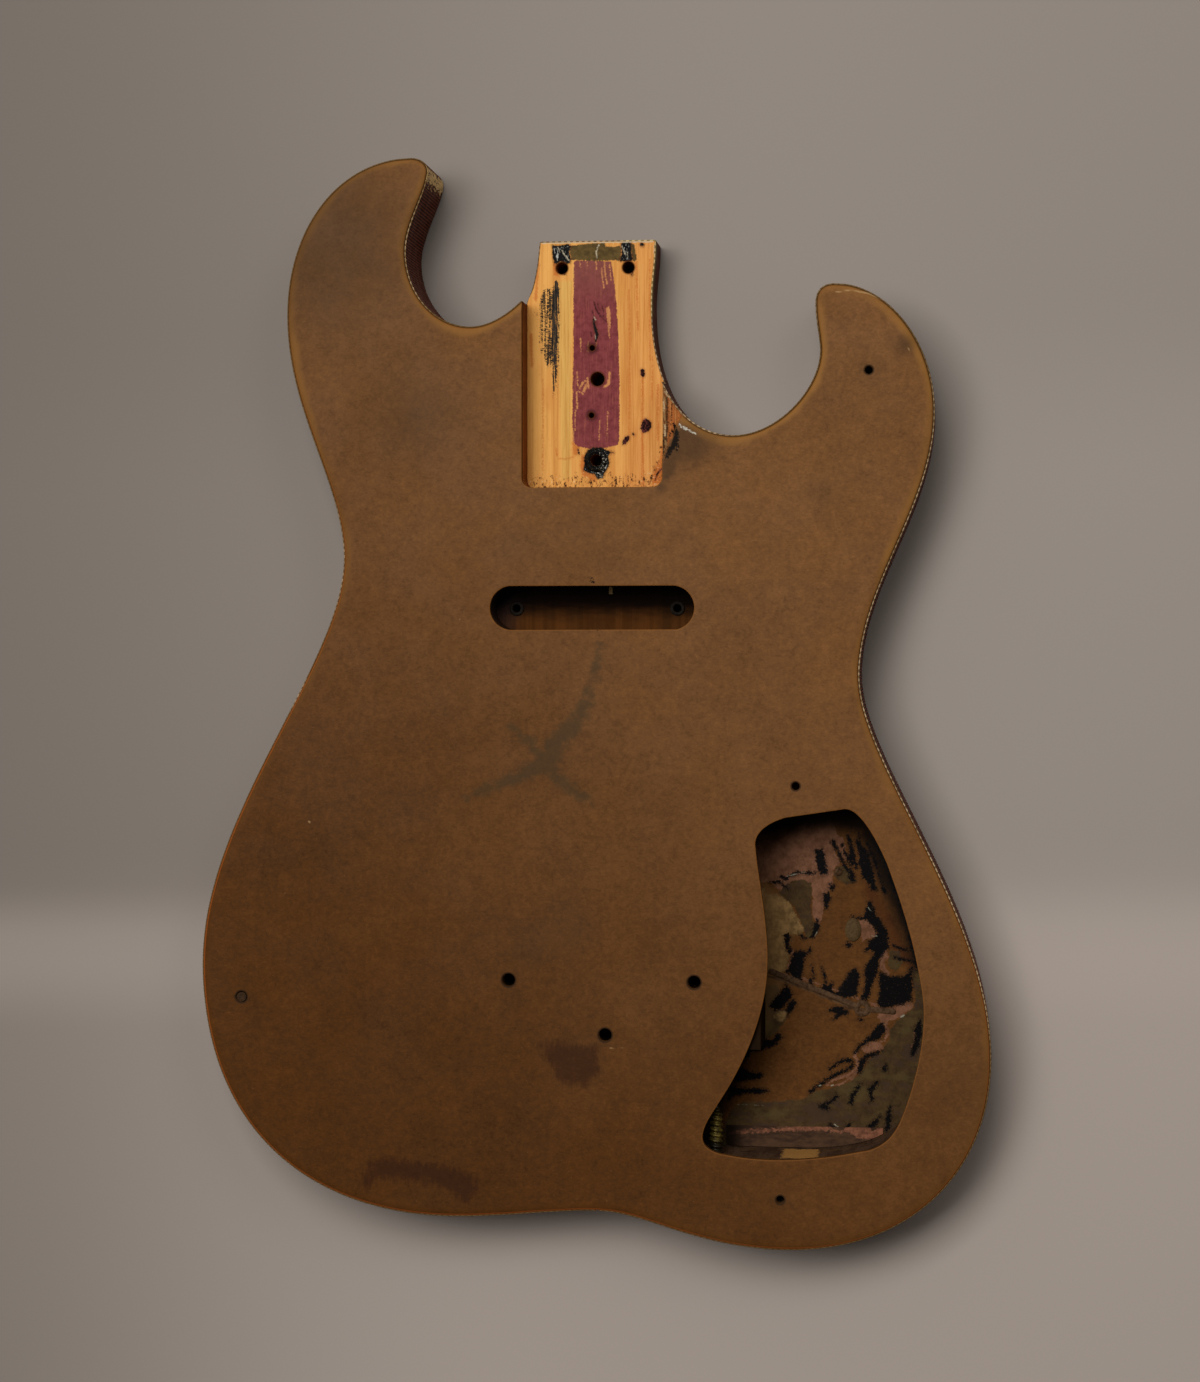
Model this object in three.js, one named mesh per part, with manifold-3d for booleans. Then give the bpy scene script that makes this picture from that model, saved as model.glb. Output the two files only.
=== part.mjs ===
// Hollow electric guitar body: a hardboard top and back on a pine frame, bound with vinyl tape.
// Millimetres, +Z up. The body lies on its back, its horns and neck pocket toward +Y.
import * as THREE from 'three';
import { mergeVertices } from 'three/addons/utils/BufferGeometryUtils.js';
import Module from 'manifold-3d';

// Body
const body_length = 471;
const body_width = 343;
const body_depth = 41.3;
const panel_thickness = 3.2;
const panel_round_width = 2.4;
const panel_round_depth = 1.5;
const tape_thickness = 0.8;
const tape_margin = 0.7;
const tape_seam = 0.5;

// Clearances
const glue_gap = 0.3;
const tape_glue = 0.1;
const cut_overrun = 2;

// Neck pocket, which runs out through the tongue between the horns
const pocket_width = 61;
const pocket_length = 108.1;
const pocket_depth = 18;
const pocket_corner_radius = 4.3;
const neck_block_width = 110;
const neck_block_length = 138.7;
const neck_block_shift = 2.5;
const chip_width = 9.5;
const chip_length = 32.5;

// Holes in the pocket floor
const bolt_hole = 5.2;
const middle_hole = 6.2;
const pin_hole = 2.5;
const pin_hole_depth = 9;
const insert_diameter = 10.6;
const insert_height = 0.9;

// Pickup slot and its block
const slot_length = 88.9;
const slot_width = 19.05;
const slot_depth = 20;
const pickup_block_width = 128;
const pickup_block_length = 42.4;
const pickup_screw_spacing = 71;
const eyelet_diameter = 6.4;
const eyelet_bore = 3.4;
const eyelet_height = 1.1;

// Bridge holes and their block
const bridge_hole = 5.6;
const bridge_hole_spacing = 80.8;
const bridge_hole_drop = 23.3;
const bridge_hole_depth = 28;
const bridge_block_width = 132;
const bridge_block_length = 67;

// Control opening, its floor pieces and the plate's screw holes
const opening_width = 94.8;
const opening_length = 151.2;
const plate_hole = 3.4;
const plate_hole_depth = 14;
const plate_hole_margins = [9.7, -17.1];
const plug_diameter = 4.2;
const plug_sink = 0.4;
const pad_width = 7;
const pad_length = 10.4;
const pad_height = 1.6;
const strap_width = 2.6;
const strap_height = 0.9;
const strap_eye = 7.2;
const strap_eye_hole = 2.6;
const floor_screw_head = 3.6;
const floor_screw_head_height = 1.3;
const floor_screw_shank = 1.6;
const floor_screw_reach = 2.2;
const glue_width = 9;
const glue_height = 2.6;

// Brass screw whose thread comes out of the tail rail into the cavity
const thread_crest = 6.4;
const thread_core = 4.6;
const thread_pitch = 2.4;
const thread_turns = 10;
const thread_socket = 6;
const thread_height = 24;

// Staples across the frame's joints
const staple_crown = 13;
const staple_leg = 10;
const staple_wire = 1.3;

// Fineness of curves
const turn_step = THREE.MathUtils.degToRad(8);
const hole_sides = 16;
const thread_sides = 10;
const round_steps = 2;

// Places, as shares of the body's width and length from its middle
const tongue_end_share = 0.426;
const pocket_side_share = 0.0015;
const bridge_place_shares = [0.0134, -0.257];
const bridge_block_shift_shares = [0.022, 0.067];
const bridge_tail_side_share = 0.0053;
const opening_place_shares = [0.28, -0.258];
const horn_hole_shares = [0.349, 0.301];
const plug_place_shares = [-0.45, -0.276];
const frame_hub_shares = [0, -0.085];

// Places in the pocket, as shares of its width and length from its middle
const bolt_hole_shares = [[-0.249, 0.396], [0.231, 0.395], [-0.003, -0.382]];
const middle_hole_shares = [0.008, -0.054];
const pin_hole_shares = [[-0.031, 0.072], [-0.036, -0.2]];

// Places in the control opening, as shares of its width and length from its middle
const pad_place_shares = [0.17, 0.135];
const floor_screw_place_shares = [0.101, 0.304];
const strap_start_share = 0.01;
const strap_route_shares = [[0.213, -0.095], [0.356, -0.103]];
const plate_hole_shares = [-0.078, -0.146];
const glue_reach_shares = [-0.42, 0.31];
const tail_screw_side_share = -0.452;

// Smooth loops. Each row is a point, its leaving handle and its arriving handle.
const outline_shares = [
  [0.076, 0.426, 0, 0, 0, -0.019],
  [-0.07, 0.426, -0.002, -0.021, 0, 0],
  [-0.088, 0.367, -0.016, -0.011, 0.01, 0.014],
  [-0.153, 0.344, -0.047, 0, 0.025, 0],
  [-0.238, 0.415, 0, 0.025, 0, -0.039],
  [-0.209, 0.487, 0.001, 0.008, -0.003, -0.019],
  [-0.23, 0.5, -0.089, 0, 0.012, 0],
  [-0.388, 0.357, 0, -0.089, 0, 0.084],
  [-0.315, 0.132, 0, -0.096, 0, 0.069],
  [-0.5, -0.244, 0, -0.155, 0, 0.137],
  [-0.181, -0.476, 0.064, 0, -0.182, 0],
  [0.009, -0.468, 0.061, 0, -0.058, 0],
  [0.246, -0.5, 0.15, 0, -0.114, 0],
  [0.5, -0.323, 0, 0.13, 0, -0.106],
  [0.336, 0.023, 0, 0.083, 0, -0.078],
  [0.429, 0.263, 0, 0.062, 0, -0.085],
  [0.306, 0.379, -0.015, 0, 0.065, 0],
  [0.284, 0.362, 0, -0.015, 0, 0.011],
  [0.29, 0.32, 0, -0.036, -0.001, 0.015],
  [0.181, 0.242, -0.064, 0, 0.055, 0],
  [0.071, 0.364, -0.001, 0.021, 0.001, -0.076],
];
const pocket_corner_row = 2;
const left_cutaway_row = 3;
const seam_row = 11;
const right_cutaway_row = 19;
const chamber_shares = [
  [-0.117, 0.293, 0, 0, 0, 0],
  [-0.262, 0.293, -0.02, 0, 0, 0],
  [-0.299, 0.259, 0, -0.042, 0, 0.019],
  [-0.257, 0.132, 0, -0.102, 0, 0.047],
  [-0.431, -0.244, 0, -0.136, 0, 0.123],
  [-0.181, -0.427, 0.064, 0, -0.146, 0],
  [0.009, -0.418, 0.035, 0, -0.052, 0],
  [0.117, -0.419, 0.041, 0, -0.035, 0],
  [0.257, -0.42, 0.111, 0, -0.047, 0],
  [0.434, -0.293, 0, 0.115, 0, -0.106],
  [0.283, 0.023, 0, 0.072, 0, -0.089],
  [0.332, 0.157, 0, 0.017, 0, -0.038],
  [0.297, 0.187, 0, 0, 0.02, 0],
  [0.117, 0.187, 0, 0, 0, 0],
];
const opening_shares = [
  [-0.261, 0.397, 0, -0.04, 0, 0.036],
  [-0.204, 0.067, 0, -0.146, 0.001, 0.119],
  [-0.437, -0.351, -0.037, -0.037, 0.127, 0.119],
  [-0.5, -0.438, 0, -0.029, 0.004, 0.03],
  [-0.416, -0.486, 0.074, -0.009, -0.047, 0.008],
  [-0.179, -0.5, 0.169, 0, -0.084, 0],
  [0.248, -0.468, 0.084, 0.015, -0.095, -0.014],
  [0.396, -0.382, 0.032, 0.045, -0.027, -0.037],
  [0.5, -0.082, 0, 0.132, 0, -0.119],
  [0.338, 0.34, -0.042, 0.063, 0.032, -0.048],
  [0.141, 0.5, -0.042, -0.002, 0.074, 0.005],
  [-0.121, 0.475, -0.084, -0.015, 0.095, 0.011],
];

// Broken corner of the top, as shares of the chip's width and length, from where the outline
// crosses the pocket's side
const chip_shares = [
  [0, -1], [0.05, -0.957], [0.23, -0.85], [0.34, -0.755], [0.46, -0.72], [0.6, -0.59],
  [0.83, -0.47], [1.05, -0.38], [1.6, -0.2], [1.6, 0.3], [0, 0.3],
];

// Frame joints, by their direction from the hub, and the rails that run from each to the next
const joint_degrees = [38.7, 128, 162, 213.7, 270, 312, 358];
const rail_names = [
  'left_waist_rail', 'left_bout_rail', 'left_tail_rail', 'right_tail_rail', 'right_bout_rail',
  'right_waist_rail',
];

// Heights and centre lines that follow from the sizes
const frame_low = panel_thickness;
const frame_high = body_depth - panel_thickness;
const pocket_floor = body_depth - pocket_depth;
const slot_floor = body_depth - slot_depth;
const pocket_x = pocket_side_share * body_width;
const tongue_end = tongue_end_share * body_length;
const pocket_y = tongue_end - pocket_length / 2;
const neck_block_left = pocket_x + neck_block_shift - neck_block_width / 2;
const neck_block_right = neck_block_left + neck_block_width;
const neck_block_low = tongue_end - neck_block_length;
const slot_x = pocket_x;
const slot_y = neck_block_low - glue_gap - pickup_block_length / 2;
const far = body_length + body_width;

const wasm = await Module();
wasm.setup();

function material(colour, roughness, metalness) {
  return new THREE.MeshStandardMaterial({ color: colour, roughness, metalness });
}

const hardboard = material(0x6b4a2c, 0.75, 0);
const pine = material(0xc39a5c, 0.7, 0);
const vinyl = material(0x5a2f2c, 0.55, 0);
const steel = material(0x8d8a84, 0.4, 0.9);
const brass = material(0x9a7c3c, 0.4, 0.9);
const rubber = material(0x1c1a18, 0.35, 0);
const felt = material(0x77705c, 0.8, 0);
const old_glue = material(0x96605a, 0.5, 0);

function solidOf(geometry) {
  const bare = geometry.clone();
  bare.deleteAttribute('normal');
  bare.deleteAttribute('uv');
  const merged = mergeVertices(bare);
  const mesh = new wasm.Mesh({
    numProp: 3,
    vertProperties: merged.getAttribute('position').array,
    triVerts: new Uint32Array(merged.index.array),
  });
  return new wasm.Manifold(mesh);
}

function geometryOf(solid) {
  const mesh = solid.getMesh();
  const geometry = new THREE.BufferGeometry();
  geometry.setAttribute('position', new THREE.BufferAttribute(mesh.vertProperties, 3));
  geometry.setIndex(new THREE.BufferAttribute(mesh.triVerts, 1));
  const faceted = geometry.toNonIndexed();
  faceted.computeVertexNormals();
  return faceted;
}

function bendOf(curve) {
  const legs = [
    curve.v1.clone().sub(curve.v0),
    curve.v2.clone().sub(curve.v1),
    curve.v3.clone().sub(curve.v2),
  ].filter((leg) => leg.length() > 0);
  let bend = 0;
  for (let i = 1; i < legs.length; i += 1) {
    bend += Math.acos(THREE.MathUtils.clamp(legs[i].dot(legs[i - 1]) / legs[i].length()
      / legs[i - 1].length(), -1, 1));
  }
  return bend;
}

// Points along a smooth loop, closer together where it bends more
function loopPoints(rows, width, length, middle) {
  const points = [];
  const row_starts = [];
  rows.forEach((row, i) => {
    const next = rows[(i + 1) % rows.length];
    const start = new THREE.Vector2(row[0] * width, row[1] * length).add(middle);
    const end = new THREE.Vector2(next[0] * width, next[1] * length).add(middle);
    const leaving = new THREE.Vector2(row[2] * width, row[3] * length).add(start);
    const arriving = new THREE.Vector2(next[4] * width, next[5] * length).add(end);
    const curve = new THREE.CubicBezierCurve(start, leaving, arriving, end);
    const steps = Math.max(1, Math.ceil(bendOf(curve) / turn_step));
    row_starts.push(points.length);
    points.push(...curve.getPoints(steps).slice(0, -1));
  });
  return { points, row_starts };
}

// The same loop moved outward along its mitred normals
function offsetLoop(points, distance) {
  return points.map((point, i) => {
    const before = points[(i + points.length - 1) % points.length];
    const after = points[(i + 1) % points.length];
    const first = point.clone().sub(before).normalize();
    const second = after.clone().sub(point).normalize();
    const first_normal = new THREE.Vector2(first.y, -first.x);
    const second_normal = new THREE.Vector2(second.y, -second.x);
    const mitre = first_normal.clone().add(second_normal);
    mitre.multiplyScalar(distance / (1 + first_normal.dot(second_normal)));
    return point.clone().add(mitre);
  });
}

function prism(points, low, high) {
  const geometry = new THREE.ExtrudeGeometry(new THREE.Shape(points), {
    depth: 1,
    bevelEnabled: false,
  });
  const places = geometry.getAttribute('position');
  for (let i = 0; i < places.count; i += 1) {
    places.setZ(i, places.getZ(i) > 0 ? high : low);
  }
  return solidOf(geometry);
}

function block(left, right, near, away, low, high) {
  const corners = [[left, near], [right, near], [right, away], [left, away]];
  return prism(corners.map(([x, y]) => new THREE.Vector2(x, y)), low, high);
}

function drill(x, y, diameter, low, high) {
  const geometry = new THREE.CylinderGeometry(diameter / 2, diameter / 2, high - low, hole_sides);
  geometry.rotateX(Math.PI / 2);
  geometry.translate(x, y, (low + high) / 2);
  return solidOf(geometry);
}

// A straight strip with round ends from one point to another
function strip(start, end, width, low, high) {
  const turn = Math.atan2(end.y - start.y, end.x - start.x);
  const quarter = Math.PI / 2;
  const shape = new THREE.Shape();
  shape.absarc(end.x, end.y, width / 2, turn - quarter, turn + quarter, false);
  shape.absarc(start.x, start.y, width / 2, turn + quarter, turn + 3 * quarter, false);
  const points = shape.getPoints(hole_sides / 2);
  return prism(points.filter((point, i) => i > 0), low, high);
}

function named(name, geometry, look) {
  const mesh = new THREE.Mesh(geometry, look);
  mesh.name = name;
  return mesh;
}

const outline = loopPoints(outline_shares, body_width, body_length, new THREE.Vector2(0, 0));
const chamber = loopPoints(chamber_shares, body_width, body_length, new THREE.Vector2(0, 0));
const opening_place = new THREE.Vector2(
  opening_place_shares[0] * body_width,
  opening_place_shares[1] * body_length,
);
const opening = loopPoints(opening_shares, opening_width, opening_length, opening_place);
const hub = new THREE.Vector2(frame_hub_shares[0] * body_width, frame_hub_shares[1] * body_length);

function inOpening(shares) {
  return new THREE.Vector2(shares[0] * opening_width, shares[1] * opening_length)
    .add(opening_place);
}

function inPocket(shares) {
  return new THREE.Vector2(
    pocket_x + shares[0] * pocket_width,
    pocket_y + shares[1] * pocket_length,
  );
}

function onBody(shares) {
  return new THREE.Vector2(shares[0] * body_width, shares[1] * body_length);
}

// Distance from a point, in a direction, to the first crossing of a loop
function reachOf(points, start, angle) {
  const along = new THREE.Vector2(Math.cos(angle), Math.sin(angle));
  let nearest = Infinity;
  points.forEach((point, i) => {
    const from_start = point.clone().sub(start);
    const side = points[(i + 1) % points.length].clone().sub(point);
    const turn = along.cross(side);
    const distance = from_start.cross(side) / turn;
    const share = from_start.cross(along) / turn;
    if (distance > 0 && share >= 0 && share <= 1) {
      nearest = Math.min(nearest, distance);
    }
  });
  return nearest;
}

// The middle of the rim where a joint crosses it
function jointMiddle(start, angle) {
  const inner = reachOf(chamber.points, start, angle);
  const outer = reachOf(outline.points, start, angle);
  const along = new THREE.Vector2(Math.cos(angle), Math.sin(angle));
  return start.clone().add(along.multiplyScalar((inner + outer) / 2));
}

const up = Math.PI / 2;
const staple_places = [
  ...joint_degrees.map((degrees) => [hub, THREE.MathUtils.degToRad(degrees)]),
  [new THREE.Vector2(neck_block_left - glue_gap / 2, neck_block_low), up],
  [new THREE.Vector2(neck_block_right + glue_gap / 2, neck_block_low), up],
].map(([start, angle]) => ({ middle: jointMiddle(start, angle), angle: angle + up }));

function stapleSlots() {
  return staple_places.map(({ middle, angle }) => {
    const width = staple_wire + 2 * glue_gap;
    const depth = staple_leg + 2 * glue_gap;
    const slot = new THREE.BoxGeometry(staple_crown + 2 * glue_gap, width, depth + cut_overrun);
    slot.translate(0, 0, (cut_overrun - depth) / 2);
    slot.rotateZ(angle);
    slot.translate(middle.x, middle.y, frame_high);
    return solidOf(slot);
  });
}

function cutAll(solid, cutters) {
  return cutters.reduce((left_over, cutter) => left_over.subtract(cutter), solid);
}

function pocketCutter(low) {
  const left = pocket_x - pocket_width / 2;
  const right = pocket_x + pocket_width / 2;
  const near = pocket_y - pocket_length / 2;
  const radius = pocket_corner_radius;
  const shape = new THREE.Shape();
  shape.moveTo(left, far);
  shape.lineTo(left, near + radius);
  shape.absarc(left + radius, near + radius, radius, Math.PI, 3 * up, false);
  shape.absarc(right - radius, near + radius, radius, -up, 0, false);
  shape.lineTo(right, far);
  return prism(shape.getPoints(hole_sides / 4), low, body_depth + cut_overrun);
}

function chipCutter() {
  const foot = new THREE.Vector2(pocket_x + pocket_width / 2, pocket_y - pocket_length / 2);
  const corner = new THREE.Vector2(foot.x, foot.y + reachOf(outline.points, foot, up));
  const points = chip_shares.map(([x, y]) => new THREE.Vector2(x * chip_width, y * chip_length)
    .add(corner));
  return prism(points, frame_high, body_depth + cut_overrun);
}

// The tongue between the two cutaways, which the top and the upper half of the tape leave bare
function tongueCutter() {
  const left = outline_shares[left_cutaway_row][0] * body_width;
  const right = outline_shares[right_cutaway_row][0] * body_width;
  const near = outline_shares[pocket_corner_row][1] * body_length + tape_thickness;
  return block(left, right, near, far, pocket_floor, body_depth + cut_overrun);
}

function slotCutter(low, high) {
  const half = new THREE.Vector2((slot_length - slot_width) / 2, 0);
  const middle = new THREE.Vector2(slot_x, slot_y);
  return strip(middle.clone().sub(half), middle.clone().add(half), slot_width, low, high);
}

function pickupScrewPlaces() {
  return [-1, 1].map((side) => slot_x + side * pickup_screw_spacing / 2);
}

function bridgeHolePlaces() {
  const middle = onBody(bridge_place_shares);
  const tail_x = middle.x + bridge_tail_side_share * body_width;
  return [
    [middle.x - bridge_hole_spacing / 2, middle.y],
    [middle.x + bridge_hole_spacing / 2, middle.y],
    [tail_x, middle.y - bridge_hole_drop],
  ];
}

// One hole on the right horn, one above the control opening and one below it
function plateHolePlaces() {
  const beside_opening = plate_hole_margins.map((margin, i) => new THREE.Vector2(
    opening_place.x + plate_hole_shares[i] * opening_width,
    opening_place.y + Math.sign(margin) * opening_length / 2 + margin,
  ));
  return [onBody(horn_hole_shares), ...beside_opening];
}

function pocketDrills(low) {
  const bolts = bolt_hole_shares.map(inPocket)
    .map(({ x, y }) => drill(x, y, bolt_hole, low, pocket_floor + cut_overrun));
  const { x, y } = inPocket(middle_hole_shares);
  return [...bolts, drill(x, y, middle_hole, low, pocket_floor + cut_overrun)];
}

// Both panels in one piece, with the worn round edge on both faces
function roundedBody() {
  const geometry = new THREE.ExtrudeGeometry(new THREE.Shape(outline.points), {
    depth: body_depth - 2 * panel_round_depth,
    bevelEnabled: true,
    bevelThickness: panel_round_depth,
    bevelSize: panel_round_width,
    bevelOffset: -panel_round_width,
    bevelSegments: round_steps,
  });
  geometry.translate(0, 0, panel_round_depth);
  return solidOf(geometry);
}

function topPanel() {
  const plug = onBody(plug_place_shares);
  const high = body_depth + cut_overrun;
  return cutAll(
    roundedBody().intersect(block(-far, far, -far, far, frame_high, high)),
    [
      pocketCutter(pocket_floor),
      tongueCutter(),
      chipCutter(),
      slotCutter(slot_floor, high),
      prism(opening.points, frame_high - cut_overrun, high),
      drill(plug.x, plug.y, plug_diameter + 2 * glue_gap, frame_high - cut_overrun, high),
      ...bridgeHolePlaces().map(([x, y]) => drill(x, y, bridge_hole, pocket_floor, high)),
      ...plateHolePlaces()
        .map(({ x, y }) => drill(x, y, plate_hole, frame_high - cut_overrun, high)),
    ],
  );
}

function backPanel() {
  const screw = inOpening(floor_screw_place_shares);
  const screw_bore = floor_screw_shank + 2 * glue_gap;
  const screw_end = panel_thickness - floor_screw_reach - glue_gap;
  const high = panel_thickness + cut_overrun;
  return cutAll(
    roundedBody().intersect(block(-far, far, -far, far, -cut_overrun, panel_thickness)),
    [
      ...pocketDrills(-cut_overrun),
      ...pickupScrewPlaces().map((x) => drill(x, slot_y, eyelet_bore, -cut_overrun, high)),
      drill(screw.x, screw.y, screw_bore, screw_end, high),
    ],
  );
}

function neckBlock() {
  const zone = block(neck_block_left, neck_block_right, neck_block_low, far, frame_low, frame_high);
  return cutAll(prism(outline.points, frame_low, frame_high).intersect(zone), [
    pocketCutter(pocket_floor),
    ...pocketDrills(frame_low - cut_overrun),
    ...pin_hole_shares.map(inPocket).map(({ x, y }) => (
      drill(x, y, pin_hole, pocket_floor - pin_hole_depth, pocket_floor + cut_overrun))),
    ...stapleSlots(),
  ]);
}

function pickupBlock() {
  const half_width = pickup_block_width / 2;
  const half_length = pickup_block_length / 2;
  return cutAll(
    block(
      slot_x - half_width,
      slot_x + half_width,
      slot_y - half_length,
      slot_y + half_length,
      frame_low,
      frame_high,
    ),
    [
      slotCutter(slot_floor, frame_high + cut_overrun),
      ...pickupScrewPlaces().map((x) => (
        drill(x, slot_y, eyelet_bore, frame_low - cut_overrun, slot_floor + cut_overrun))),
    ],
  );
}

function bridgeBlockMiddle() {
  return new THREE.Vector2(
    bridge_block_shift_shares[0] * bridge_block_width,
    bridge_block_shift_shares[1] * bridge_block_length,
  ).add(onBody(bridge_place_shares));
}

function bridgeBlock() {
  const { x, y } = bridgeBlockMiddle();
  const half_width = bridge_block_width / 2;
  const half_length = bridge_block_length / 2;
  return cutAll(
    block(x - half_width, x + half_width, y - half_length, y + half_length, frame_low, frame_high),
    bridgeHolePlaces().map(([hole_x, hole_y]) => drill(
      hole_x,
      hole_y,
      bridge_hole,
      frame_high - bridge_hole_depth,
      frame_high + cut_overrun,
    )),
  );
}

// The wall of the tail rail that the brass screw comes through
const tail_screw_x = opening_place.x + tail_screw_side_share * opening_width;
const tail_wall = opening_place.y
  - reachOf(chamber.points, new THREE.Vector2(tail_screw_x, opening_place.y), -up);

function screwSocket() {
  const depth = thread_socket + cut_overrun;
  const radius = thread_crest / 2 + glue_gap;
  const geometry = new THREE.CylinderGeometry(radius, radius, depth, hole_sides);
  geometry.translate(tail_screw_x, tail_wall + cut_overrun - depth / 2, thread_height);
  return solidOf(geometry);
}

function rimSolid() {
  const neck_zone = block(
    neck_block_left - glue_gap,
    neck_block_right + glue_gap,
    neck_block_low - glue_gap,
    far,
    frame_low - cut_overrun,
    frame_high + cut_overrun,
  );
  const low = frame_low - cut_overrun;
  return cutAll(prism(outline.points, frame_low, frame_high), [
    prism(chamber.points, low, frame_high + cut_overrun),
    neck_zone,
    screwSocket(),
    ...stapleSlots(),
    ...plateHolePlaces().map(({ x, y }) => (
      drill(x, y, plate_hole, frame_high - plate_hole_depth, frame_high + cut_overrun))),
  ]);
}

// The slice of the rim between two directions from the hub
function railBetween(rim, start_degrees, end_degrees) {
  const start = THREE.MathUtils.degToRad(start_degrees);
  const end = THREE.MathUtils.degToRad(end_degrees);
  const middle = (start + end) / 2;
  const setback = glue_gap / 2 / Math.sin((end - start) / 2);
  const apex = hub.clone()
    .add(new THREE.Vector2(Math.cos(middle), Math.sin(middle)).multiplyScalar(setback));
  const corners = [start, middle, end].map((angle) => (
    new THREE.Vector2(Math.cos(angle), Math.sin(angle)).multiplyScalar(far).add(apex)));
  const wedge = prism([apex, ...corners], frame_low - cut_overrun, frame_high + cut_overrun);
  return rim.intersect(wedge);
}

function sideTape() {
  const first = outline.row_starts[seam_row];
  const inner = offsetLoop(outline.points, tape_glue);
  const outer = offsetLoop(outline.points, tape_glue + tape_thickness);
  const turned = (points) => [...points.slice(first), ...points.slice(0, first)];
  const seam_shift = new THREE.Vector2(tape_seam, 0);
  const out = turned(outer);
  const back = turned(inner);
  const last_out = out[0].clone();
  const last_in = back[0].clone();
  out[0].add(seam_shift);
  back[0].add(seam_shift);
  const loop = [...out, last_out, last_in, ...back.reverse()];
  const tape = prism(loop, tape_margin, body_depth - tape_margin);
  return cutAll(tape, [pocketCutter(pocket_floor), tongueCutter()]);
}

function insertRing() {
  const { x, y } = inPocket(bolt_hole_shares[2]);
  const high = pocket_floor + insert_height;
  return prismRing(x, y, insert_diameter, bolt_hole, pocket_floor, high);
}

function prismRing(x, y, diameter, bore, low, high) {
  const shape = new THREE.Shape().absarc(x, y, diameter / 2, 0, 2 * Math.PI, false);
  const points = shape.getPoints(hole_sides).slice(0, -1);
  return prism(points, low, high).subtract(drill(x, y, bore, low - cut_overrun, high + cut_overrun));
}

function plugSolid() {
  const { x, y } = onBody(plug_place_shares);
  const shape = new THREE.Shape().absarc(x, y, plug_diameter / 2, 0, 2 * Math.PI, false);
  return prism(shape.getPoints(hole_sides).slice(0, -1), frame_high, body_depth - plug_sink);
}

function padSolid() {
  const { x, y } = inOpening(pad_place_shares);
  const shape = new THREE.Shape();
  shape.absellipse(x, y, pad_width / 2, pad_length / 2, 0, 2 * Math.PI, false);
  const points = shape.getPoints(hole_sides).slice(0, -1);
  return prism(points, panel_thickness, panel_thickness + pad_height);
}

function strapSolid() {
  const [eye, end] = strap_route_shares.map(inOpening);
  const start = new THREE.Vector2(
    bridgeBlockMiddle().x + bridge_block_width / 2 + strap_width,
    inOpening([0, strap_start_share]).y,
  );
  const low = panel_thickness;
  const high = panel_thickness + strap_height;
  return strip(start, eye, strap_width, low, high)
    .add(strip(eye, end, strap_width, low, high))
    .add(prismRing(eye.x, eye.y, strap_eye, strap_eye_hole, low, high))
    .subtract(drill(eye.x, eye.y, strap_eye_hole, low - cut_overrun, high + cut_overrun));
}

function glueSolid() {
  const [left, right] = glue_reach_shares.map((share) => (
    opening_place.x + share * opening_width));
  const low = panel_thickness;
  const high = panel_thickness + glue_height;
  const wall = prism(offsetLoop(chamber.points, -glue_gap), low, high);
  return wall.intersect(block(left, right, -far, tail_wall + glue_width, low, high));
}

function floorScrewGeometry() {
  const head = floor_screw_head / 2;
  const shank = floor_screw_shank / 2;
  const profile = [
    [0, -floor_screw_reach],
    [shank, -floor_screw_reach],
    [shank, 0],
    [head, 0],
    [head, floor_screw_head_height / 2],
    [head / 2, floor_screw_head_height],
    [0, floor_screw_head_height],
  ].map(([x, y]) => new THREE.Vector2(x, y));
  const geometry = new THREE.LatheGeometry(profile, thread_sides);
  geometry.rotateX(up);
  const { x, y } = inOpening(floor_screw_place_shares);
  geometry.translate(x, y, panel_thickness);
  return geometry;
}

function tailScrewGeometry() {
  const profile = [new THREE.Vector2(0, 0), new THREE.Vector2(thread_core / 2, 0)];
  for (let turn = 0; turn < thread_turns; turn += 1) {
    const foot = (turn + 1 / 2) * thread_pitch;
    profile.push(new THREE.Vector2(thread_core / 2, foot - thread_pitch / 4));
    profile.push(new THREE.Vector2(thread_crest / 2, foot));
    profile.push(new THREE.Vector2(thread_core / 2, foot + thread_pitch / 4));
  }
  profile.push(new THREE.Vector2(0, (thread_turns + 1) * thread_pitch));
  const geometry = new THREE.LatheGeometry(profile, thread_sides);
  geometry.translate(tail_screw_x, tail_wall - thread_socket + glue_gap, thread_height);
  return geometry;
}

function stapleMesh(name, { middle, angle }) {
  const half = staple_crown / 2;
  const shape = new THREE.Shape([
    [-half, 0],
    [-half, -staple_leg],
    [staple_wire - half, -staple_leg],
    [staple_wire - half, -staple_wire],
    [half - staple_wire, -staple_wire],
    [half - staple_wire, -staple_leg],
    [half, -staple_leg],
    [half, 0],
  ].map(([x, y]) => new THREE.Vector2(x, y)));
  const geometry = new THREE.ExtrudeGeometry(shape, { depth: staple_wire, bevelEnabled: false });
  geometry.translate(0, 0, -staple_wire / 2);
  geometry.rotateX(up);
  const mesh = named(name, geometry, steel);
  mesh.rotation.z = angle;
  mesh.position.set(middle.x, middle.y, frame_high - glue_gap);
  return mesh;
}

const body = new THREE.Group();
body.add(named('top_panel', geometryOf(topPanel()), hardboard));
body.add(named('back_panel', geometryOf(backPanel()), hardboard));
body.add(named('neck_block', geometryOf(neckBlock()), pine));
body.add(named('pickup_block', geometryOf(pickupBlock()), pine));
body.add(named('bridge_block', geometryOf(bridgeBlock()), pine));

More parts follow.
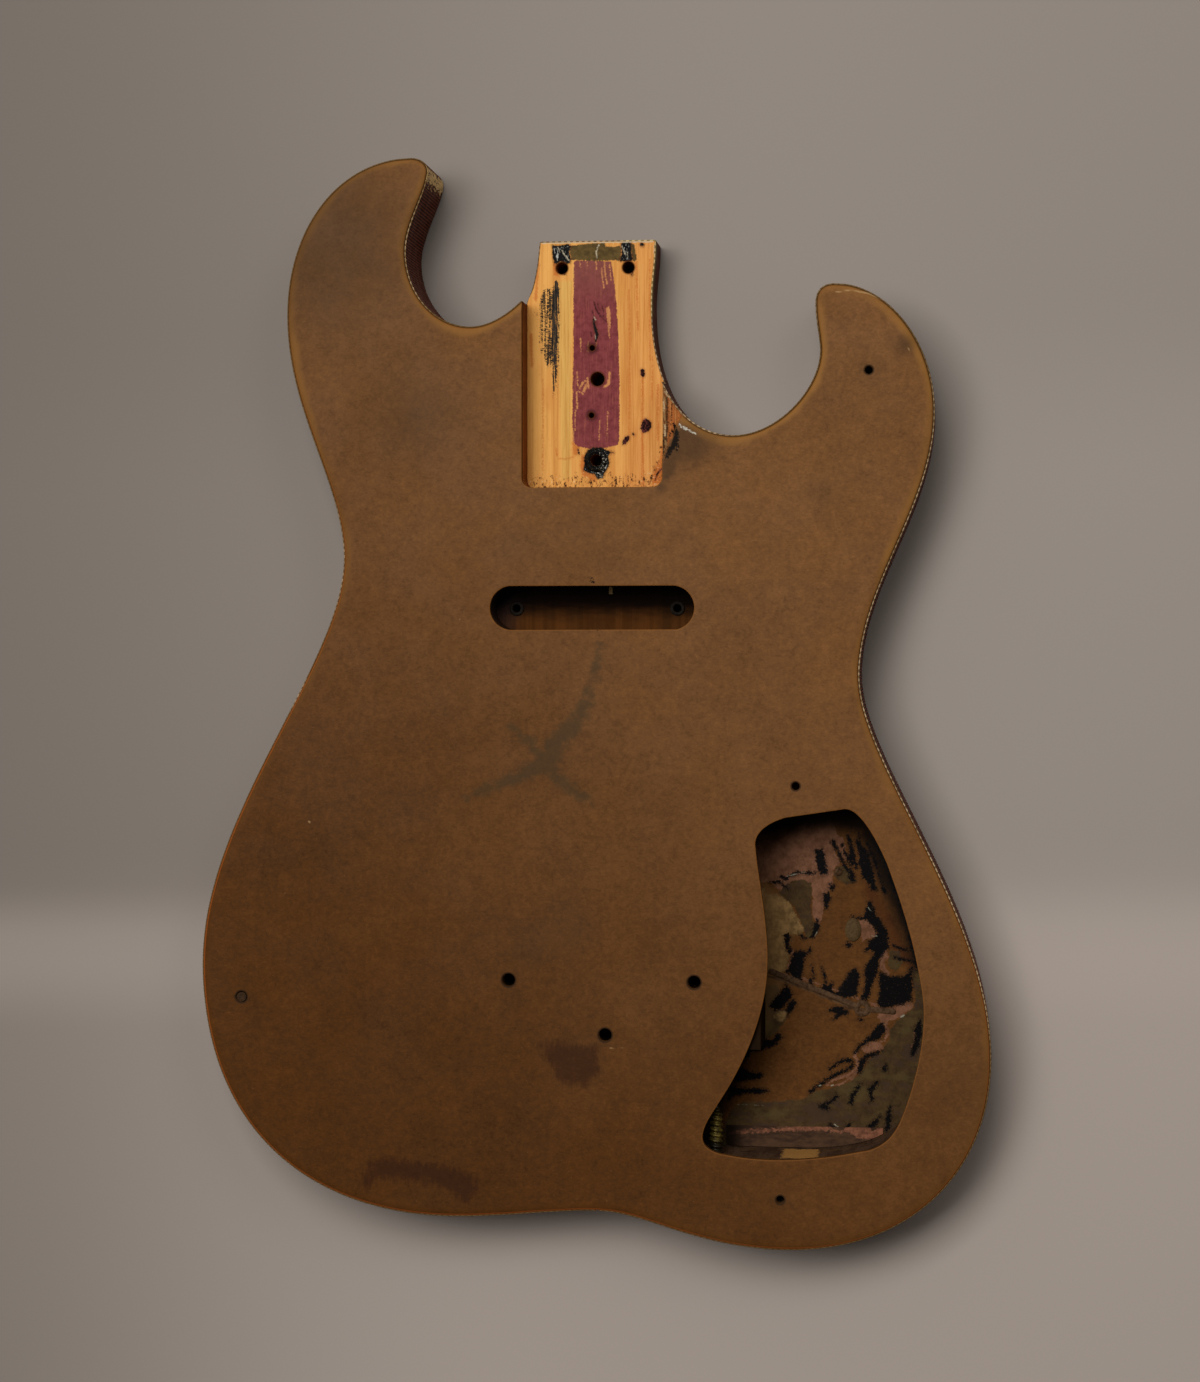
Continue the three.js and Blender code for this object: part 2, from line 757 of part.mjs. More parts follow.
const rim = rimSolid();
const full_turn = 360;
const straight_up = 90;
const first_joint = joint_degrees[0];
body.add(named(
  'right_horn_block',
  geometryOf(railBetween(rim, first_joint, straight_up)),
  pine,
));
body.add(named(
  'left_horn_block',
  geometryOf(railBetween(rim, straight_up, joint_degrees[1])),
  pine,
));
rail_names.forEach((name, i) => {
  const start = joint_degrees[i + 1];
  const end = joint_degrees[i + 2] ?? first_joint + full_turn;
  body.add(named(name, geometryOf(railBetween(rim, start, end)), pine));
});

body.add(named('side_tape', geometryOf(sideTape()), vinyl));
body.add(named('pocket_insert', geometryOf(insertRing()), rubber));
['left_eyelet', 'right_eyelet'].forEach((name, i) => {
  const x = pickupScrewPlaces()[i];
  const high = slot_floor + eyelet_height;
  const ring = prismRing(x, slot_y, eyelet_diameter, eyelet_bore, slot_floor, high);
  body.add(named(name, geometryOf(ring), steel));
});
body.add(named('top_plug', geometryOf(plugSolid()), felt));
body.add(named('floor_pad', geometryOf(padSolid()), felt));
body.add(named('earth_strap', geometryOf(strapSolid()), steel));
body.add(named('cavity_glue', geometryOf(glueSolid()), old_glue));
body.add(named('floor_screw', floorScrewGeometry(), steel));
body.add(named('tail_screw', tailScrewGeometry(), brass));
staple_places.forEach((place, i) => body.add(stapleMesh(`staple_${i + 1}`, place)));

export default body;
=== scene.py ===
"""The looks of a stripped, hollow electric guitar body that lies on its back. Metres, +Z out of the top.

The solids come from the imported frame. Boards, tape, pocket floor and small parts are rebuilt here as finer meshes
on the frame's own outlines. Places named in pixels are places in the 1200 by 1382 picture, and on_level turns them
into places on the surface that carries them.
"""
import math

import bpy
import numpy as np
from mathutils import Matrix, Vector, noise
from mathutils.geometry import delaunay_2d_cdt
from mathutils.kdtree import KDTree


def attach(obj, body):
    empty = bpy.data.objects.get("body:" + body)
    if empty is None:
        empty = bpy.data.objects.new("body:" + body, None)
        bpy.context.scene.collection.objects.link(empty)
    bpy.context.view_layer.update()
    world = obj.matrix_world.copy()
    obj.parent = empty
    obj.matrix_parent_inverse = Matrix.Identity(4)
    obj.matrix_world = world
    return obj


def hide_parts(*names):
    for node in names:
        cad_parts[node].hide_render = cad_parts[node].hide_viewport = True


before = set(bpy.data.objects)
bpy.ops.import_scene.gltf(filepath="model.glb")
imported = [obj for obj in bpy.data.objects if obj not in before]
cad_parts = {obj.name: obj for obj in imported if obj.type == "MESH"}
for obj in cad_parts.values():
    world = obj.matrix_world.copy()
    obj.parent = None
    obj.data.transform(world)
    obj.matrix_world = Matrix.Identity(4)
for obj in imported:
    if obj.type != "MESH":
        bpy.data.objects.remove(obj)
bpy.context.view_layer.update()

# ---- Sizes, in metres ----
MM = 0.001
FRAME_HIGH = 38.1 * MM
TOP = 41.3 * MM
FLOOR_INSIDE = 3.2 * MM
POCKET_FLOOR = 23.3 * MM
SLOT_FLOOR = 21.3 * MM
TAPE_LOW = 0.7 * MM
TAPE_HIGH = 40.6 * MM
SAME_HEIGHT = 2e-6
SAME_PLACE = 5e-5
OUTLINE_STEP = 1.0 * MM
CORNER_TURN = math.radians(24)
LONG_NEIGHBOUR = 3.0
NO_GRID = 0.2

# ---- Camera ----
PICTURE_MIDDLE = (600.0, 691.0)
PICTURE_HEIGHT = 1382
CAMERA_PLACE = Vector((0.15109, 0.02224, 1.2913))
CAMERA_TARGET = Vector((0.00421, 0.00452, 0.0413))
CAMERA_REACH = 2914.0
SENSOR = 36.0
FORWARD = (CAMERA_TARGET - CAMERA_PLACE).normalized()
SIDEWAYS = FORWARD.cross(Vector((0, 1, 0))).normalized()
UPWARD = SIDEWAYS.cross(FORWARD)


def add_camera():
    camera = bpy.data.objects.new("camera", bpy.data.cameras.new("camera"))
    bpy.context.scene.collection.objects.link(camera)
    camera.location = CAMERA_PLACE
    camera.rotation_euler = Matrix((SIDEWAYS, UPWARD, -FORWARD)).transposed().to_euler()
    camera.data.sensor_width = SENSOR
    camera.data.lens = CAMERA_REACH / PICTURE_HEIGHT * SENSOR
    camera.data.clip_start = 0.05
    camera.data.clip_end = 50
    bpy.context.scene.camera = camera


def on_level(pixels, level):
    """Where the lines of sight through pixels of the picture meet a height, as rows of x and y."""
    across, down = (np.asarray(pixels, float) - PICTURE_MIDDLE).T[:, :, None]
    rays = CAMERA_REACH * np.array(FORWARD) + across * np.array(SIDEWAYS) - down * np.array(UPWARD)
    reach = (level - CAMERA_PLACE.z) / rays[:, 2:]
    return np.array(CAMERA_PLACE)[:2] + reach * rays[:, :2]


# ---- Outlines ----
def length(rows):
    return np.linalg.norm(rows, axis=-1)


def flat_loops(node, level):
    """The outlines of the faces of a node that lie at one height, the longest first, each counter-clockwise."""
    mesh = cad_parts[node].data
    keys = [tuple(round(c / SAME_HEIGHT) for c in v.co) for v in mesh.vertices]
    following = {}
    for face in mesh.polygons:
        ring = [keys[i] for i in face.vertices]
        if any(abs(key[2] * SAME_HEIGHT - level) > 2 * SAME_HEIGHT for key in ring):
            continue
        for a, b in zip(ring, ring[1:] + ring[:1]):
            if a in following.get(b, ()):
                following[b].remove(a)
            else:
                following.setdefault(a, []).append(b)
    loops = []
    while any(following.values()):
        start = next(key for key in following if following[key])
        loop = [start]
        while True:
            key = following[loop[-1]].pop()
            if key == start:
                break
            loop.append(key)
        loop = np.array(loop, float)[:, :2] * SAME_HEIGHT
        loops.append(loop if area(loop) > 0 else loop[::-1])
    return sorted(loops, key=lambda loop: -length(np.roll(loop, -1, 0) - loop).sum())


def area(loop):
    x, y = loop.T
    return float(np.dot(x, np.roll(y, -1)) - np.dot(y, np.roll(x, -1))) / 2


def smooth(loop, step):
    """The loop as a smooth curve through its points, at about one spacing. Sharp corners stay sharp."""
    back = loop - np.roll(loop, 1, 0)
    on = np.roll(loop, -1, 0) - loop
    back_length, on_length = length(back), length(on)
    back_way, on_way = back / back_length[:, None], on / on_length[:, None]
    turn = np.abs(np.arctan2(back[:, 0] * on[:, 1] - back[:, 1] * on[:, 0], (back * on).sum(1)))
    way = back_way * on_length[:, None] + on_way * back_length[:, None]
    way = np.where((back_length > LONG_NEIGHBOUR * on_length)[:, None], back_way, way)
    way = np.where((on_length > LONG_NEIGHBOUR * back_length)[:, None], on_way, way)
    way /= length(way)[:, None]
    sharp = (turn > CORNER_TURN)[:, None]
    leaving = np.where(sharp, on_way, way)
    arriving = np.roll(np.where(sharp, back_way, way), -1, 0)
    points = []
    for i, span in enumerate(on_length):
        count = max(1, round(span / step))
        t = (np.arange(count) / count)[:, None]
        start, end = loop[i], loop[(i + 1) % len(loop)]
        points.append(
            (2 * t**3 - 3 * t**2 + 1) * start + (t**3 - 2 * t**2 + t) * span * leaving[i]
            + (3 * t**2 - 2 * t**3) * end + (t**3 - t**2) * span * arriving[i]
        )
    return np.vstack(points)


def outward(loop):
    """The outward direction at each point of a counter-clockwise loop."""
    way = np.roll(loop, -1, 0) - np.roll(loop, 1, 0)
    way /= length(way)[:, None]
    return np.stack([way[:, 1], -way[:, 0]], 1)


def fine(loop):
    """A smooth loop with points close enough for its size."""
    around = length(np.roll(loop, -1, 0) - loop).sum()
    return smooth(loop, min(OUTLINE_STEP, around / 28))


def inside(points, loops):
    """Which points lie in the first loop and in none of the others."""
    found = np.zeros(len(points), bool)
    x, y = points.T
    for loop in loops:
        for (ax, ay), (bx, by) in zip(loop, np.roll(loop, -1, 0)):
            if ay != by:
                crossed = ((ay > y) != (by > y)) & (x < ax + (y - ay) * (bx - ax) / (by - ay))
                found ^= crossed
    return found


def to_segment(points, a, b):
    """How far points are from the segments a to b."""
    along = b - a
    t = ((points - a) * along).sum(-1) / np.maximum((along * along).sum(-1), 1e-18)
    return length(points - a - np.clip(t, 0, 1)[..., None] * along)


class Rim:
    """Loops that can tell how far points are from them."""

    def __init__(self, loops):
        self.here = np.vstack(loops)
        self.on = np.vstack([np.roll(loop, -1, 0) for loop in loops])
        self.back = np.vstack([np.roll(loop, 1, 0) for loop in loops])
        self.tree = KDTree(len(self.here))
        for i, (x, y) in enumerate(self.here):
            self.tree.insert((x, y, 0), i)
        self.tree.balance()

    def gap(self, points):
        near = [self.tree.find((x, y, 0))[1] for x, y in points]
        return np.minimum(
            to_segment(points, self.here[near], self.on[near]),
            to_segment(points, self.back[near], self.here[near]),
        )


# ---- Shapes drawn on a surface ----
def area_distance(points, loop):
    """How far points are from a drawn area's edge, negative inside it."""
    gap = np.full(len(points), np.inf)
    for a, b in zip(loop, np.roll(loop, -1, 0)):
        gap = np.minimum(gap, to_segment(points, a, b))
    return np.where(inside(points, [loop]), -gap, gap)


def line_distance(points, path, widths):
    """How far points are from a brush line's edge, negative inside it. The width changes along the line."""
    gap = np.full(len(points), np.inf)
    for a, b, wide_a, wide_b in zip(path[:-1], path[1:], widths[:-1], widths[1:]):
        along = b - a
        t = np.clip(((points - a) * along).sum(-1) / max((along * along).sum(), 1e-18), 0, 1)
        reach = length(points - a - t[:, None] * along)
        gap = np.minimum(gap, reach - (wide_a + (wide_b - wide_a) * t) / 2)
    return gap


PIXEL = 0.432 * MM
# Fields are not worked out further than this from their shapes.
REACH = 6.0 * MM


def in_box(points, low, high):
    return ((points > low) & (points < high)).all(1)


def drawn(level, areas=(), lines=()):
    """A field: how far points are from the areas and lines, which are drawn in pixels of the picture.

    An area is a list of corners. A line is (width, corners), with one width or one for each corner."""
    shapes = [(on_level(corners, level), None) for corners in areas]
    for widths, corners in lines:
        shapes.append((on_level(corners, level), np.resize(widths, len(corners)) * PIXEL))

    def field(points):
        gap = np.full(len(points), REACH)
        for path, widths in shapes:
            near = in_box(points, path.min(0) - REACH, path.max(0) + REACH)
            if near.any():
                some = points[near]
                found = area_distance(some, path) if widths is None else line_distance(some, path, widths)
                gap[near] = np.minimum(gap[near], found)
        return gap
    return field


def glow(points, pixel, level, reach):
    """1 at a place in the picture, and less with the distance from it."""
    return np.exp(-((length(points - on_level([pixel], level)[0]) / reach) ** 2))


def bump_noise(points, size, seed=0.0):
    """Smooth noise between about -1 and 1, over blotches of one size."""
    return np.array([noise.noise((x / size, y / size, seed)) for x, y in points])


# ---- Meshes ----
def face_of(loops, rings, spacing, window=None):
    """Points and triangles of a flat region: the loops first, then rings beside them and a grid between.

    window is (lowest corner, highest corner, spacing) of a part with a finer grid."""
    rim = Rim(loops)
    points = [np.vstack(loops)]
    for gap in rings:
        for i, loop in enumerate(loops):
            ring = loop - outward(loop) * (gap if i == 0 else -gap)
            ring = ring[inside(ring, loops)]
            points.append(ring[rim.gap(ring) > 0.93 * gap])
    low, high = points[0].min(0), points[0].max(0)
    last = rings[-1] if rings else 0
    grids = [(low, high, spacing)] + ([window] if window else [])
    for start, end, apart in grids:
        rows = []
        row_step = apart * math.sqrt(3) / 2
        for k, y in enumerate(np.arange(start[1] + row_step / 2, end[1], row_step)):
            x = np.arange(start[0] + apart * (0.25 + 0.5 * (k % 2)), end[0], apart)
            rows.append(np.stack([x, np.full(len(x), y)], 1))
        grid = np.vstack(rows) if rows else np.empty((0, 2))
        if window and apart == spacing:
            grid = grid[~in_box(grid, *window[:2])]
        grid = grid[inside(grid, loops)]
        points.append(grid[rim.gap(grid) > last + 0.45 * apart])
    points = np.vstack(points)
    links, first = [], 0
    for loop in loops:
        links += [(first + i, first + (i + 1) % len(loop)) for i in range(len(loop))]
        first += len(loop)
    made = delaunay_2d_cdt([Vector(p) for p in points], links, [], 0, 1e-9)
    origin = [ids[0] for ids in made[3]]
    triangles = np.array([[origin[i] for i in tri] for tri in made[2]])
    on_edge = np.nonzero((triangles < first).all(1))[0]
    kept = np.ones(len(triangles), bool)
    kept[on_edge] = inside(points[triangles[on_edge]].mean(1), loops)
    triangles = triangles[kept]
    a, b, c = points[triangles].transpose(1, 0, 2)
    turned = (b[:, 0] - a[:, 0]) * (c[:, 1] - a[:, 1]) < (b[:, 1] - a[:, 1]) * (c[:, 0] - a[:, 0])
    triangles[turned] = triangles[turned][:, ::-1]
    return points, triangles


def make(name, places, faces, slot, looks, replaces=(), look_of=None, fields=None, crease=40):
    """A piece of the body from its points and faces."""
    mesh = bpy.data.meshes.new(name)
    mesh.from_pydata(np.asarray(places).tolist(), [], [list(map(int, f)) for f in faces])
    for look in looks:
        mesh.materials.append(look)
    if look_of is not None:
        mesh.polygons.foreach_set("material_index", look_of)
    mesh.polygons.foreach_set("use_smooth", [True] * len(mesh.polygons))
    mesh.set_sharp_from_angle(angle=math.radians(crease))
    for field, values in (fields or {}).items():
        mesh.attributes.new(field, "FLOAT", "POINT").data.foreach_set("value", np.asarray(values, np.float32))
    piece = bpy.data.objects.new(name, mesh)
    bpy.context.scene.collection.objects.link(piece)
    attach(piece, "root")
    if replaces:
        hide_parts(*replaces)
    return piece


def board(name, loops, upper, lower, slot, looks, fields=None, **rest):
    """A closed board. upper and lower are (rings, spacing, window, height of a point)."""
    edge = sum(len(loop) for loop in loops)
    places, faces, look_of, flat = [], [], [], []
    starts = []
    for side, (rings, spacing, window, height) in enumerate((upper, lower)):
        points, triangles = face_of(loops, rings, spacing, window)
        starts.append(sum(map(len, flat)))
        flat.append(points)
        places.append(np.column_stack([points, height(points)]))
        turned = triangles if side == 0 else triangles[:, ::-1]
        faces += (turned + starts[-1]).tolist()
        look_of += [2 * side] * len(triangles)
    first = 0
    for k, loop in enumerate(loops):
        for i in range(len(loop)):
            a, b = first + i, first + (i + 1) % len(loop)
            wall = [a, starts[1] + a, starts[1] + b, b]
            faces.append(wall if k == 0 else wall[::-1])
        first += len(loop)
    look_of += [1] * edge
    flat = np.vstack(flat)
    named = {field: work(flat) for field, work in (fields or {}).items()}
    return make(name, np.vstack(places), faces, slot, looks, look_of=look_of, fields=named, **rest)


def tube(rings, around, turned=False):
    """The faces of a closed tube through rings of points, one ring after the other."""
    faces = []
    for ring in range(rings - 1):
        low, high = ring * around, (ring + 1) * around
        for i in range(around):
            j = (i + 1) % around
            faces.append(
                [low + i, low + j, high + j, high + i] if turned else [low + i, high + i, high + j, low + j])
    ends = [list(range(around)), list(range(rings * around - 1, (rings - 1) * around - 1, -1))]
    return faces + [end[::-1] if turned else end for end in ends]


def flat_side(level):
    """The rings, spacing, window and height of a board's plain flat side, with no points but its outline's."""
    return (), NO_GRID, None, lambda points: np.full(len(points), level)


def rounded(gap, width, depth):
    """How far a worn edge falls below the flat at a distance from it."""
    t = 1 - np.clip(gap / width, 0, 1)
    return depth * (1 - np.sqrt(1 - t * t))


# ---- Materials ----
def shade(red, green, blue):
    """A colour from its 0 to 255 screen values."""
    parts = [c / 255 for c in (red, green, blue)]
    return tuple(c / 12.92 if c <= 0.04045 else ((c + 0.055) / 1.055) ** 2.4 for c in parts) + (1,)


class Value:
    """The output of a shader node. A sum, difference or product with it is worked out by a further node."""

    def __init__(self, nodes, socket):
        self.nodes, self.socket = nodes, socket

    def __add__(self, other):
        return self.nodes.calc("ADD", self, other)

    def __sub__(self, other):
        return self.nodes.calc("SUBTRACT", self, other)

    def __mul__(self, other):
        return self.nodes.calc("MULTIPLY", self, other)

    __radd__ = __add__
    __rmul__ = __mul__


class Nodes:
    """The nodes of a material or of the world. Most methods add a node and give its output as a Value."""

    def __init__(self, tree):
        self.tree = tree

    def put(self, socket, value):
        if isinstance(value, Value):
            self.tree.links.new(value.socket, socket)
        else:
            socket.default_value = value

    def node(self, kind, output, inputs=(), **settings):
        made = self.tree.nodes.new(kind)
        for key, value in settings.items():
            setattr(made, key, value)
        for key, value in dict(inputs).items():
            self.put(made.inputs[key], value)
        return Value(self, made.outputs[output])

    def calc(self, operation, a, b):
        return self.node("ShaderNodeMath", 0, {0: a, 1: b}, operation=operation)

    def step(self, value, low, high, start=0.0, end=1.0, way="SMOOTHSTEP"):
        """Goes from start to end as value, or the field that it names, goes from low to high."""
        if isinstance(value, str):
            value = self.field(value)
        if low > high:
            low, high, start, end = high, low, end, start
        return self.node("ShaderNodeMapRange", 0, {
            "Value": value, "From Min": low, "From Max": high, "To Min": start, "To Max": end},
            interpolation_type=way)


class Look(Nodes):
    """A material in the making."""

    def __init__(self, name, shine, metal=0.0):
        self.material = bpy.data.materials.new(name)
        self.material.use_nodes = True
        super().__init__(self.material.node_tree)
        self.shader = self.tree.nodes["Principled BSDF"]
        self.shader.inputs["Specular IOR Level"].default_value = shine
        self.shader.inputs["Metallic"].default_value = metal
        self.place = self.node("ShaderNodeTexCoord", "Object")

    def scaled(self, size, shift):
        size = size if hasattr(size, "__len__") else (size,) * 3
        return self.node("ShaderNodeMapping", 0, {
            "Vector": self.place, "Scale": tuple(1 / s for s in size), "Location": (shift, shift, shift)})

    def noise(self, size, detail, rough=0.5, shift=0.0, bend=0.0):
        """Noise with blotches of a size in metres, or of a size along each axis."""
        return self.node("ShaderNodeTexNoise", "Fac", {
            "Vector": self.scaled(size, shift), "Scale": 1.0, "Detail": detail, "Roughness": rough,
            "Distortion": bend})

    def field(self, name):
        return self.node("ShaderNodeAttribute", "Fac", attribute_name=name)

    def axis(self, name):
        return self.node("ShaderNodeSeparateXYZ", name, {0: self.place})

    def between(self, value, low, high, soft):
        """1 where value lies between low and high, with soft ends on the inner side of both."""
        return self.step(value, low, low + soft) * self.step(value, high, high - soft)

    def mix(self, share, first, second):
        """From one colour to another. A colour is a Value, or its red, green and blue on a screen."""
        first, second = (shade(*colour) if isinstance(colour, tuple) else colour for colour in (first, second))
        return self.node("ShaderNodeMix", 2, {0: share, 6: first, 7: second}, data_type="RGBA")

    def grade(self, value, low, high, first, second):
        """From one colour to another as value goes from low to high."""
        return self.mix(self.step(value, low, high), first, second)

    def either(self, a, b):
        return self.calc("MAXIMUM", a, b)

    def sway(self, size, reach, detail=4.0, shift=2.0):
        """Noise that moves an edge to and fro."""
        return (self.noise(size, detail, 0.65, shift) - 0.5) * reach

    def cover(self, field, move=0.0, soft=0.2 * MM, share=1.0):
        """How far a drawn field covers a place, with its edge moved by some noise."""
        return self.step(self.field(field) + move, soft, -soft, 0.0, share)

    def blend(self, colour, *layers):
        """A colour with further colours laid over it, each with its share."""
        for share, over in layers:
            colour = self.mix(share, colour, over)
        return colour

    def finish(self, colour, rough, height, depth):
        """The material, with small bumps of a depth where height varies."""
        bump = self.node("ShaderNodeBump", 0, {"Height": height, "Distance": depth, "Strength": 1.0})
        for name, value in (("Base Color", colour), ("Roughness", rough), ("Normal", bump)):
            self.put(self.shader.inputs[name], value)
        return self.material


def speckled(name, shine, grain, low, high, first, second, rough, depth, metal=0.0):
    """A material of two colours in specks. grain is the size of the specks and their detail."""
    look = Look(name, shine, metal)
    specks = look.noise(*grain, 0.7)
    return look.finish(look.grade(specks, low, high, first, second), rough, specks, depth)


# Each is (size, detail, share, shift) of a layer of mottles or fibres.
MOTTLES = (
    (90 * MM, 3, 0.35, 0.0), (18 * MM, 3, 0.42, 3.0), (7 * MM, 3, 0.46, 9.0), (2.6 * MM, 3, 0.8, 4.0),
    ((1.3 * MM, 0.8 * MM, 1.0 * MM), 4, 0.85, 7.0),
)


def fibre_board(look, dark, light):
    """Pressed fibre board: short fibres and mottles of several sizes, with a few dark and pale specks."""
    level = 0.5
    for size, detail, share, shift in MOTTLES:
        fibre = look.noise(size, detail, 0.62, shift=shift, bend=0.6)
        level = level + (fibre - 0.5) * share
    colour = look.mix(level, dark, light)
    specks = look.noise((1.1 * MM, 0.6 * MM, 1.0 * MM), 2, 0.5, shift=15.0)
    colour = look.blend(
        colour,
        (look.step(specks, 0.3, 0.22, 0, 0.5), (48, 30, 16)),
        (look.step(specks, 0.7, 0.8, 0, 0.4), (146, 104, 64)))
    return colour, fibre


def top_look():
    look = Look("board_top", 0.05)
    # Painted light: a share that rises from the lower left to the upper right. The board is painted darker and
    # redder toward the lower left and lighter toward the upper right, in place of the lamp's falloff and sheen. The
    # edge band, its worn rim and its seam follow the same share.
    drift = look.noise(0.045, 2, shift=8.0)
    place = look.axis("Y") * 0.7 + look.axis("X") * 0.6
    painted_light = look.step(place + (drift - 0.5) * 0.10, -0.2, 0.14)
    colour, fibre = fibre_board(
        look, look.mix(painted_light, (53, 30, 9), (86, 56, 29)), look.mix(painted_light, (94, 55, 19), (134, 90, 50)))
    wobble = look.sway(5 * MM, 9.0 * MM, shift=5.0)
    bristle = look.sway((1.2 * MM, 6 * MM, 2 * MM), 26 * MM, shift=17.0)
    rim = look.field("rim") + look.sway(30 * MM, 8.0 * MM, 2.0, shift=8.0)
    rubbed = look.step(look.noise(0.03, 3, shift=21.0), 0.3, 0.62, 0.2, 0.85)
    band = look.step(rim, 4.2 * MM, 0.8 * MM) * rubbed * (0.45 + painted_light * 0.55)
    worn = look.step("rim", 1.0 * MM, 0.3 * MM, 0, 0.6)
    seam = look.step("rim", 0.5 * MM, 0.1 * MM, 0, 0.7)
    colour = look.blend(
        colour,
        (band, look.mix(painted_light, (88, 53, 22), (140, 96, 46))),
        (worn, look.mix(painted_light, (176, 88, 34), (112, 70, 26))),
        (seam * painted_light, (50, 33, 13)),
        (look.step(look.field("haze") + (drift - 0.5) * 0.3, 0.1, 1.1, 0, 0.62), (58, 42, 26)),
        (look.cover("green", wobble + look.sway(2 * MM, 5 * MM, shift=25.0), 2.2 * MM, 0.6), (60, 49, 31)),
        (look.cover("red", wobble * 0.7 + bristle * 0.3, 2.4 * MM, 0.62), (44, 22, 12)),
        (look.cover("pale", wobble * 0.05, 0.25 * MM, 0.6), (178, 142, 96)),
        (look.cover("faint", 0.0, 1.0 * MM, 0.45), (60, 40, 24)),
        (look.cover("dark", look.sway(0.8 * MM, 4.2 * MM, shift=9.0), 0.2 * MM, 0.95), (14, 9, 6)),
        (look.cover("fleck", look.sway(0.6 * MM, 1.7 * MM, shift=9.0), 0.15 * MM, 0.8), (196, 190, 174)),
        (look.step("hole", 1.0 * MM, 0.3 * MM, 0, 0.8), (36, 25, 15)),
        (look.step("cut", 0.7 * MM, 0.1 * MM, 0, 0.45), (128, 80, 34)))
    height = fibre + look.noise(4 * MM, 3) * 0.8
    return look.finish(colour, look.step(look.noise(0.03, 4), 0.3, 0.7, 0.5, 0.66), height, 0.06 * MM)


def edge_look(name, high_colour, low_colour):
    """The sawn or routed edge of a board, in thin pressed layers."""
    look = Look(name, 0.04)
    layer = look.noise((0.009, 0.009, 0.0005), 3, 0.6)
    grit = look.noise(0.0008, 3, 0.7)
    colour = look.grade(layer, 0.35, 0.65, low_colour, high_colour)
    colour = look.mix(look.step(grit, 0.55, 0.75, 0, 0.5), colour, (132, 92, 52))
    return look.finish(colour, 0.75, layer + grit, 0.12 * MM)


def plain_board_look():
    look = Look("board_back", 0.05)
    colour, fibre = fibre_board(look, (72, 45, 23), (118, 78, 45))
    rub = look.noise((0.05, 0.012, 0.05), 4, 0.6, shift=11.0)
    scratch = look.noise((0.09, 0.0006, 0.05), 2, 0.5, shift=15.0, bend=0.3)
    colour = look.blend(
        colour,
        (look.step(rub, 0.55, 0.8, 0, 0.35), (128, 88, 52)),
        (look.step("rim", 4.6 * MM, 2.0 * MM, 0, 0.6), (122, 76, 36)),
        (look.step(scratch, 0.68, 0.74, 0, 0.5), (150, 112, 70)))
    return look.finish(colour, 0.6, fibre, 0.06 * MM)


add_camera()

# ---- The two boards ----
# Each is how far a worn edge reaches in and how far it falls.
OUTER_ROUND = (3.4 * MM, 1.5 * MM)
BACK_ROUND = (1.2 * MM, 0.8 * MM)
CUT_ROUND = (0.5 * MM, 0.25 * MM)
SMALL_HOLE = 60 * MM * MM
WAVE = (0.05 * MM, 50 * MM)
WAVE_BELOW = 0.06 * MM
WAVE_FROM_EDGE = 6 * MM
outline_raw = flat_loops("back_panel", FLOOR_INSIDE)[0]
outline = smooth(outline_raw, OUTLINE_STEP)
outline_rim = Rim([outline])
top_raw = flat_loops("top_panel", FRAME_HIGH)
top_loops = [fine(loop) for loop in top_raw]
small_holes = [loop for loop in top_loops[1:] if area(loop) < SMALL_HOLE]
cut_loops = top_loops[1:3]
notch = top_loops[0][outline_rim.gap(top_loops[0]) > SAME_PLACE]
cut_rim = Rim(cut_loops + [notch])
hole_rim = Rim(small_holes)

GREEN_LINES = [
    ([4, 8, 14, 19, 16, 13, 10, 4],
     [(599, 645), (593, 683), (581, 715), (556, 744), (546, 764), (516, 777), (490, 788), (468, 797)]),
    ([5, 8, 11, 12, 9, 3], [(511, 726), (530, 743), (547, 762), (560, 781), (578, 793), (594, 803)]),
]
RED_AREAS = [
    [(541, 1044), (558, 1042), (578, 1045), (595, 1044), (598, 1056), (601, 1071), (593, 1078), (585, 1087),
     (573, 1085), (561, 1082), (552, 1071), (546, 1057)],
    [(359, 1181), (370, 1164), (385, 1157), (422, 1163), (455, 1167), (476, 1180), (478, 1192), (466, 1201),
     (448, 1190), (425, 1181), (400, 1180), (382, 1178), (366, 1188)],
]
HAZES = [
    (515, 545, 22, 0.35), (500, 550, 12, 0.2), (820, 490, 22, 0.5), (570, 925, 38, 0.45), (525, 950, 26, 0.4),
    (905, 345, 13, 0.9), (869, 372, 20, 0.45), (692, 448, 20, 0.5), (668, 466, 8, 1.0), (661, 487, 8, 0.9),
    (720, 440, 18, 0.35), (600, 1036, 16, 0.25), (575, 1048, 30, 0.25), (430, 1172, 52, 0.3), (508, 981, 10, 0.4),
    (694, 981, 10, 0.4), (420, 420, 40, 0.15), (380, 900, 60, 0.12), (640, 1110, 60, 0.12), (242, 997, 9, 0.6),
    (330, 235, 120, 0.9), (980, 1080, 90, 0.45), (672, 452, 7, 0.9), (780, 1200, 13, 0.5), (684, 436, 10, 1.0),
    (690, 448, 20, 0.6), (666, 472, 7, 0.9), (345, 450, 60, 0.2), (425, 415, 75, 0.45), (590, 545, 60, 0.35),
    (860, 760, 45, 0.3),
]
PALE_LINES = [
    # The first line, along a crease on the right horn, is a painted highlight where the crease catches the light;
    # the others are pale marks.
    (1.6, [(836, 292), (850, 290), (868, 293), (882, 299)]), (0.7, [(526, 698), (533, 700), (541, 702)]),
    (1.2, [(609, 1048), (625, 1048.5)]), (2.6, [(458, 620), (459, 620)]), (2.6, [(309, 822), (311, 823)]),
    (2.0, [(292, 1060), (293, 1061)]), (2.4, [(886, 1234), (895, 1229)]), (1.4, [(905, 346), (911, 351)]),
    (1.0, [(586, 627), (590, 627)]),
]
